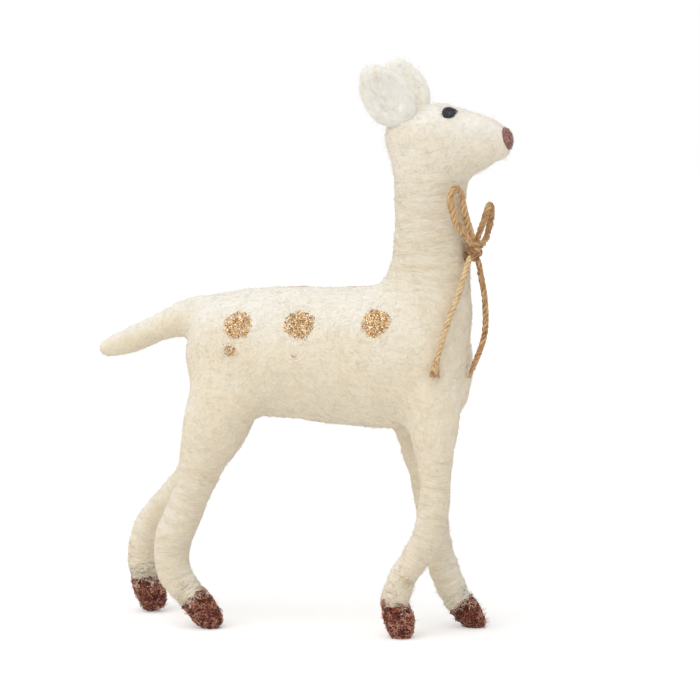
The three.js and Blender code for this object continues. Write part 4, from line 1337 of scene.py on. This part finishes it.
def wispsOff(skin, count, rng):
    # loose crimped strands that stand off the front of the hoof
    place, normal, _ = scattered(facesOf(skin, facingOf(skin, (1, 0, 0)) > 0.55), count, rng)
    t = np.linspace(0, 1, 12)[None, :, None]
    length = rng.uniform(*hoofWool["wispLength"], (count, 1, 1))
    coil = rng.uniform(0.08, 0.3, (count, 1, 1))
    phase = rng.uniform(0, 6, (count, 1, 1)) + 2 * math.pi * length * t / 1.3
    heading = unit(0.6 * normal + np.array([0.5, 0.0, 0.1]) + rng.normal(0, 0.4, (count, 3)))[:, None]
    crimp = coil * t * np.concatenate([0 * phase, np.cos(phase), np.sin(phase)], 2)
    lines = place[:, None] + heading * length * t + crimp
    lines[:, :, 2] = np.maximum(lines[:, :, 2], 0.14)
    return fibres(lines, rng.uniform(0.03, 0.06, count), rng.uniform(0.2, 1, count))


def makeHoof(number, name, hoof):
    rng = np.random.default_rng(50 + number)
    skin, rim, away = hoofSkin(hoof, number)
    makePadded(name, skin, brownFelt, "wool_brown", hoof["node"])
    far = (skin["verts"][skin["faces"]].mean(1) - rim) @ away
    outside = (far > -1.2) & (facingOf(skin, away) > -0.6)
    curls = curlsOn(facesOf(skin, outside), hoof["curls"], rng, hoofWool["loose"], hoof["darkness"])
    wisps = wispsOff(skin, hoof["wisps"], rng)
    makePiece(name + "Curls", joined([curls, wisps]), brownCurls)
    # cream strands of the leg curl over the rim
    low, high = hoofWool["creamBand"]
    band = facesOf(skin, outside & (far < rng.uniform(low, high, len(far))))
    over = curlsOn(band, hoofWool["creamCurls"], rng, hoofWool["creamLoose"], 1)
    over["shade"] = 0.5 * over["shade"]
    makePiece(name + "Rim", over, looseCream)


for number, (name, hoof) in enumerate(hooves.items()):
    makeHoof(number, name, hoof)
print("hooves curled")


# ---- grey and coloured strands caught in the winding
caught = {
    # how many, and how far above the leg's end they lie
    "grey": {
        "frontLegRight": (130, 3.6),
        "frontLegLeft": (170, 4.6),
        "hindLegRight": (190, 4.0),
        "hindLegLeft": (330, 5.6),
    },
    "greyRadius": (0.026, 0.055),
    "greyArc": (8, 40),  # degrees
    # place, reach and count of short fibres of another colour
    "greyPatch": [
        ((-35.1, -15.5, 13.6), 2.0, 40),
        ((-53.9, 6.8, 13.0), 3.0, 90),
        ((33.3, -14.8, 14.0), 2.0, 14),
        ((49.4, 8.2, 11.2), 2.4, 34),
    ],
    "pink": [
        ((33.8, -14.2, 21.2), 1.3, 11),
        ((32.3, -14.6, 16.3), 1.4, 9),
        ((30.6, -13.9, 17.6), 1.0, 5),
        ((1.9, -16.8, 85.8), 0.45, 12),
        ((-58.4, 7.1, 22.0), 1.0, 9),
        ((-58.5, 7.0, 18.1), 0.6, 5),
    ],
    "ochre": [((36.3, -13.9, 17.8), 1.5, 46), ((34.9, -14.4, 18.4), 1.8, 22)],
    "fleckLength": (0.5, 1.6),
}
greyStrands = strandMaterial("greyStrands", (88, 90, 90), (210, 206, 196))
pinkStrands = strandMaterial("pinkStrands", (206, 124, 110), (240, 190, 172))
ochreStrands = strandMaterial("ochreStrands", (190, 160, 96), (226, 204, 150))


def greyWindings():
    # short messy strands wound in above the hooves, thickest by the hoof
    rng = np.random.default_rng(71)
    parts = []
    for name, (count, band) in caught["grey"].items():
        axis = evenLine(axisOf(body[name]), 0.25)
        s = lengthsAlong(axis)
        at = np.searchsorted(s, s[-1] - 0.2 - band * rng.random(count) ** 1.3).clip(0, len(axis) - 1)
        begin = rng.uniform(0, 2 * math.pi, (count, 1))
        arc = np.radians(rng.uniform(*caught["greyArc"], (count, 1)))
        turn = begin + arc * np.linspace(0, 1, 10)
        slope = rng.normal(0, 0.6, (count, 1)) * np.sin(turn - begin) + 0.12 * np.sin(5 * turn + begin)
        radius = rng.uniform(*caught["greyRadius"], count)
        lines = linesOntoBody(roundLimb(axis, at, turn, slope), radius * 0.6)
        parts.append(fibres(lines, radius, rng.uniform(0, 1, count)))
    return joined(parts + [flecks(caught["greyPatch"], 74)])


def flecks(spots, seed):
    # short curled fibres of another colour, caught in the wool round each spot
    rng = np.random.default_rng(seed)
    parts = []
    for middle, reach, count in spots:
        start = ontoBody(np.array(middle) + rng.normal(0, reach * 0.5, (count, 3)), 0.02)
        heading = unit(rng.normal(size=(count, 3)) * np.array([1.0, 1.0, 0.7]))
        t = np.linspace(0, 1, 8)[None, :, None]
        length = rng.uniform(*caught["fleckLength"], (count, 1, 1))
        bend = unit(rng.normal(size=(count, 3))) * 0.35
        lines = linesOntoBody(start[:, None] + (heading[:, None] * t + bend[:, None] * t**2) * length, 0.05)
        parts.append(fibres(lines, rng.uniform(0.03, 0.06, count), rng.uniform(0, 1, count)))
    return joined(parts)


makePiece("greyStrands", greyWindings(), greyStrands)
makePiece("pinkFlecks", flecks(caught["pink"], 72), pinkStrands)
makePiece("ochreFlecks", flecks(caught["ochre"], 73), ochreStrands)
print("stray colours caught")


# ---- nose and eyes
def patchOn(middle, normal, upright, radii, height, sink, ragged, seed, wrapBack=0.0):
    # a thin cap felted onto the body, thickest in its middle and ragged at its rim
    middle, normal = np.array(middle), unit(np.array(normal, float))
    one = unit(np.array(upright, float) - normal * np.dot(upright, normal))
    other = np.cross(normal, one)
    turn = fullTurn(44)
    rim = 1 + ragged * noiseAt(np.stack([np.cos(turn), np.sin(turn), 0 * turn], 1), 0.45, seed)
    spoke = radii[0] * np.outer(np.cos(turn), one) + radii[1] * np.outer(np.sin(turn), other)
    top, bottom = [], []
    for share in np.arange(1, 13) / 12:
        guess = middle + share * rim[:, None] * spoke + normal * (0.5 - wrapBack * share**2)
        top.append(ontoBody(guess, height * (1 - share**2) ** 0.5 if share < 1 else -0.05))
        bottom.append(ontoBody(guess, -sink))
    tips = [ontoBody([middle + normal * 0.5], lift)[0] for lift in (height, -sink)]
    cap = closedForm(top + bottom[::-1], tips)
    cap["verts"] = cap["verts"] + 0.06 * noiseAt(cap["verts"], 0.9, seed)[:, None] * normal
    if np.dot(normalsOf(cap["verts"], cap["faces"])[-2], normal) < 0:
        cap["faces"] = cap["faces"][:, ::-1]
    return {**cap, "shade": np.full(len(cap["verts"]), 0.5)}


face = {
    "eyeRadii": (2.05, 2.75),
    "eyePitch": 16,  # degrees
    "eyeHeight": 0.8,
    "eyesUp": {-1: 0.8, 1: -1.1},  # right and left, as the right one is set higher
    "noseMiddle": (64.7, 0, 152.0),
    "noseFaces": (0.93, 0, 0.37),
    "noseRadii": (2.95, 3.2),
    "noseHeight": 0.6,
    "wrapBack": 2.4,  # of the nose's rim over the muzzle
    "sink": 0.5,
    "ragged": 0.1,
    "fuzz": 520,
    "fuzzLength": (0.4, 1.2),
}
noseFelt = woolMaterial("noseWool", (104, 57, 53), (160, 101, 93), (210, 156, 146), 0.4, 1100)
noseFibres = strandMaterial("noseFibres", (74, 36, 36), (238, 188, 176))
eyeFelt = woolMaterial("eyeWool", (16, 17, 22), (36, 39, 50), (74, 80, 96), 0.4, 1100)
eyeFibres = strandMaterial("eyeFibres", (10, 11, 16), (112, 114, 124))


def fibresOnPatch(part, count, seed, above):
    rng = np.random.default_rng(seed)
    place, normal, _ = scattered(facesOf(part, facingOf(part, above) > 0.15), count, rng)
    heading = unit(np.cross(normal, rng.normal(size=(count, 3))))
    length = rng.uniform(*face["fuzzLength"], (count, 1, 1))
    rise, bend = rng.uniform(0.0, 0.35, (count, 1, 1)), rng.normal(0, 0.3, (count, 1, 1))
    lines = standing(place, heading, normal, length, rise, bend, 5, 1)
    return fibres(lines, rng.uniform(0.025, 0.05, count), rng.uniform(0, 1, count))


def makeFace():
    pitch = math.radians(face["eyePitch"])
    longWay = np.array([math.cos(pitch), 0, -math.sin(pitch)])
    sink, ragged = face["sink"], face["ragged"]
    for side, name, cadNode in ((-1, "eyeRight", "eye_right"), (1, "eyeLeft", "eye_left")):
        middle = middleOf(cadNode) + np.array([0, 0, face["eyesUp"][side]])
        place, normal = nearestOn(bodyTree, [middle])[0]
        part = patchOn(place, normal, longWay, face["eyeRadii"], face["eyeHeight"], sink, ragged, 3 + side)
        makePadded(name, part, eyeFelt, "wool_black", cadNode)
        fibresUp = fibresOnPatch(part, face["fuzz"], 80 + side, np.array(normal))
        makePiece(name + "Fuzz", fibresUp, eyeFibres)
    middle, ahead, radii = face["noseMiddle"], face["noseFaces"], face["noseRadii"]
    part = patchOn(middle, ahead, (0, 0, 1), radii, face["noseHeight"], sink, ragged, 9, face["wrapBack"])
    makePadded("nosePad", part, noseFelt, "wool_nose", "nose")
    makePiece("noseFuzz", fibresOnPatch(part, face["fuzz"], 85, np.array(ahead)), noseFibres)


makeFace()
print("face needled on")


# ---- dab of glue between the neck and the knot, dark amber partly for the glue and partly as painted shadow beside the knot
glueDab = {"middle": (53.6, -3.1, 116.5), "radii": (1.7, 1.6), "height": 1.4, "sink": 0.4, "ragged": 0.35}


def glueAndPaintedShadowMaterial():
    material, tree = startMaterial("glueAndPaintedShadow")
    cloudy = grain(tree, placeOn(tree), 700)
    # painted shadow: the dark amber stands partly for the glue's own colour and partly for the shade beside the knot
    colour = ramp(tree, cloudy, (0.3, (96, 66, 42)), (0.5, (152, 110, 74)), (0.7, (206, 168, 124)))
    finishMaterial(tree, colour, cloudy, 0.15, {"Roughness": 0.5})
    return material


dab = patchOn(normal=twine["outward"], upright=(0, 0, 1), seed=16, **glueDab)
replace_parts(makePiece("bowGlue", dab, glueAndPaintedShadowMaterial()), "bow_glue")
print("knot glued on")


# ---- glitter
glitter = {
    "spots": {
        # node, reach, flakes, where they lie thinner (a turn, in degrees), and how far off the node (forwards, up)
        "glitterRightRear": ("glitter_spot_right_rear", 4.5, 1180, 50, (0, 0.2)),
        "glitterRightMiddle": ("glitter_spot_right_middle", 4.7, 1550, 130, (0, 0)),
        "glitterRightFront": ("glitter_spot_right_front", 4.5, 1450, 140, (-1.0, -0.4)),
        "glitterSmudgeRight": ("glitter_smudge_right", 1.9, 200, 20, (-0.8, 0)),
        "glitterLeftRear": ("glitter_spot_left_rear", 4.5, 1350, 0, (0, 0)),
        "glitterLeftMiddle": ("glitter_spot_left_middle", 5.6, 1700, 270, (-0.8, 4.2)),
        "glitterLeftFront": ("glitter_spot_left_front", 5.5, 1600, 270, (-0.9, 4.2)),
    },
    "flake": (0.08, 0.21),  # from the middle to a corner
    "flakeThickness": 0.04,
    "strays": 34,
    "strayFlake": 0.6,  # of the others' size
    "softEdge": 0.26,
    "lost": 0.45,  # share of the flakes that the thin side is short of
    "pile": 0.32,
    "glue": 0.2,
}


def glitterMaterial():
    material, tree = startMaterial("goldGlitter")
    # the flakes run from dark brown through gold to near white; the darkest and the palest stand partly for the
    # glitter's own mix of colours and partly for painted shade and painted glints
    goldToneAndPaintedGlints = [(0.0, (104, 62, 26)), (0.3, (190, 138, 76)), (0.62, (240, 198, 134)), (0.84, (255, 242, 206))]
    colour = ramp(tree, field(tree, "shade"), *goldToneAndPaintedGlints, (1.0, (255, 255, 252)))
    finishMaterial(tree, colour, None, 0, {"Metallic": 0.75, "Roughness": 0.3})
    return material


def driedGlueMaterial():
    material, tree = startMaterial("driedGlue")
    specks = grain(tree, placeOn(tree), 1800)
    colour = ramp(tree, specks, (0.35, (166, 124, 76)), (0.5, (222, 188, 138)), (0.68, (248, 232, 200)))
    finishMaterial(tree, colour, specks, 0.15, {"Roughness": 0.45, "Specular IOR Level": 0.5})
    return material


gold, driedGlue = glitterMaterial(), driedGlueMaterial()


def flakesAt(places, normals, sizes, rng):
    # thin six-sided flakes, each tilted its own way
    n = len(places)
    tilted = unit(normals + rng.normal(0, 0.4, (n, 3)))
    one = unit(np.cross(tilted, rng.normal(size=(n, 3))))
    other = np.cross(tilted, one)
    ring = places[:, None] + sizes[:, None, None] * turned(np.arange(6) * math.pi / 3, one[:, None], other[:, None])
    thick = tilted[:, None] * glitter["flakeThickness"] / 2
    top = [(6, k, k + 1) for k in range(7, 11)]
    under = [(0, k + 1, k) for k in range(1, 5)]
    wall = [(k, (k + 1) % 6, 6 + (k + 1) % 6) for k in range(6)] + [(k, 6 + (k + 1) % 6, 6 + k) for k in range(6)]
    return {
        "verts": np.concatenate([ring - thick, ring + thick], 1).reshape(-1, 3),
        "faces": (np.array(top + under + wall)[None] + (np.arange(n) * 12)[:, None, None]).reshape(-1, 3),
        "shade": np.repeat(rng.uniform(0, 1, n), 12),
    }


def dabGlitter(number, name):
    cadNode, reach, count, thin, (forwards, up) = glitter["spots"][name]
    rng = np.random.default_rng(90 + number)
    middle = middleOf(cadNode) + np.array([forwards, 0, up])
    place, normal = (np.array(found) for found in nearestOn(bodyTree, [middle])[0])
    one = unit(np.array([1.0, 0, 0]) - normal * normal[0])
    other = np.cross(normal, one)
    n = count + glitter["strays"]
    turn = rng.uniform(0, 2 * math.pi, n)
    rim = 1 + 0.2 * noiseAt(np.stack([np.cos(turn), np.sin(turn), 0 * turn + number], 1), 0.5, number)
    far = np.sqrt(rng.random(n)) * rim * reach + rng.normal(0, glitter["softEdge"], n)
    far[count:] = reach * rng.uniform(1.0, 1.7, glitter["strays"])
    # fewer flakes hold on one side of the dab
    sparse = (np.cos(turn - math.radians(thin)) > 0.2) & (np.abs(far) > 0.55 * reach)
    far = np.where(sparse & (rng.random(n) < glitter["lost"]), far * rng.uniform(0.2, 0.8, n), far)
    guess = place + (np.cos(turn) * far)[:, None] * one + (np.sin(turn) * far)[:, None] * other
    spots, normals = (np.array(found) for found in zip(*nearestOn(bodyTree, guess)))
    pile = np.clip(1 - np.abs(far) / reach, 0, 1) ** 0.5 * glitter["pile"]
    spots = spots + normals * (0.1 + pile * rng.random(n))[:, None]
    sizes = rng.uniform(*glitter["flake"], n)
    sizes[count:] *= glitter["strayFlake"]
    piece = makePiece(name, flakesAt(spots, normals, sizes, rng), gold, smooth=False)
    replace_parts(piece, cadNode)
    glue = patchOn(place, normal, one, (reach * 0.9, reach * 0.9), glitter["glue"], 0.3, 0.2, number)
    makePiece(name + "Glue", glue, driedGlue)


for number, name in enumerate(glitter["spots"]):
    dabGlitter(number, name)
print("glitter dabbed")


# ---- wires that stay as the frame has them
def steelMaterial():
    material, tree = startMaterial("drawnWire")
    drawn = grain(tree, placeOn(tree), 1.0, (200, 3000, 3000))
    colour = ramp(tree, drawn, (0.3, (140, 140, 138)), (0.7, (188, 188, 184)))
    finishMaterial(tree, colour, drawn, 0.01, {"Metallic": 1.0, "Roughness": 0.38})
    return material


def dress(cadNode, material):
    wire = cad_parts[cadNode]
    if not wire.material_slots:
        wire.data.materials.append(material)
    for slot in wire.material_slots:
        slot.material = material


steel = steelMaterial()
for wire in ("spine_wire", "front_leg_wire", "hind_leg_wire"):
    dress(wire, steel)


# ---- floor and light
studio = {
    "floor": 6.0,  # metres
    "floorColour": (0.9, 0.9, 0.9),
    "floorGlow": 0.26,
    "sky": 0.69,
    "sun": (-0.25, -0.52, 0.8),  # towards the lamp
    "sunPower": 1.08,
    "sunSpread": 65,  # degrees
}


def softSun(towards, power, spread):
    lamp = bpy.data.lights.new("softSun", "SUN")
    lamp.energy, lamp.angle = power, math.radians(spread)
    light = bpy.data.objects.new("softSun", lamp)
    bpy.context.scene.collection.objects.link(light)
    light.rotation_mode = "QUATERNION"
    light.rotation_quaternion = Vector(towards).to_track_quat("Z", "Y")


def setStage():
    half = studio["floor"] / 2
    mesh = bpy.data.meshes.new("floor")
    mesh.from_pydata([(-half, -half, 0), (half, -half, 0), (half, half, 0), (-half, half, 0)], [], [(0, 1, 2, 3)])
    floor = bpy.data.objects.new("floor", mesh)
    bpy.context.scene.collection.objects.link(floor)
    material, tree = startMaterial("paleFloor")
    plain = node(tree, "ShaderNodeBsdfDiffuse", {"Color": studio["floorColour"]}).outputs[0]
    # the floor looks white to the camera, and lights nothing
    strength = sums(tree, "MULTIPLY", node(tree, "ShaderNodeLightPath").outputs["Is Camera Ray"], studio["floorGlow"])
    glow = node(tree, "ShaderNodeEmission", {"Color": (1, 1, 1), "Strength": strength}).outputs[0]
    both = node(tree, "ShaderNodeAddShader", {0: plain, 1: glow}).outputs[0]
    node(tree, "ShaderNodeOutputMaterial", {"Surface": both})
    mesh.materials.append(material)


def setLight():
    world = bpy.data.worlds.new("studio")
    world.use_nodes = True
    tree = world.node_tree
    tree.nodes.clear()
    path = node(tree, "ShaderNodeLightPath").outputs
    # white behind the deer and in gloss, and less light than that on the deer
    straight = sums(tree, "ADD", path["Is Camera Ray"], path["Is Glossy Ray"], clamp=True)
    straight = sums(tree, "ADD", straight, path["Is Transmission Ray"], clamp=True)
    strength = scaled(tree, straight, 1 - studio["sky"], studio["sky"])
    sky = node(tree, "ShaderNodeBackground", {"Color": (1, 1, 1), "Strength": strength}).outputs[0]
    node(tree, "ShaderNodeOutputWorld", {"Surface": sky})
    bpy.context.scene.world = world
    softSun(studio["sun"], studio["sunPower"], studio["sunSpread"])
    bpy.context.scene.view_settings.view_transform = "Standard"


setStage()
setLight()
print("stage lit")
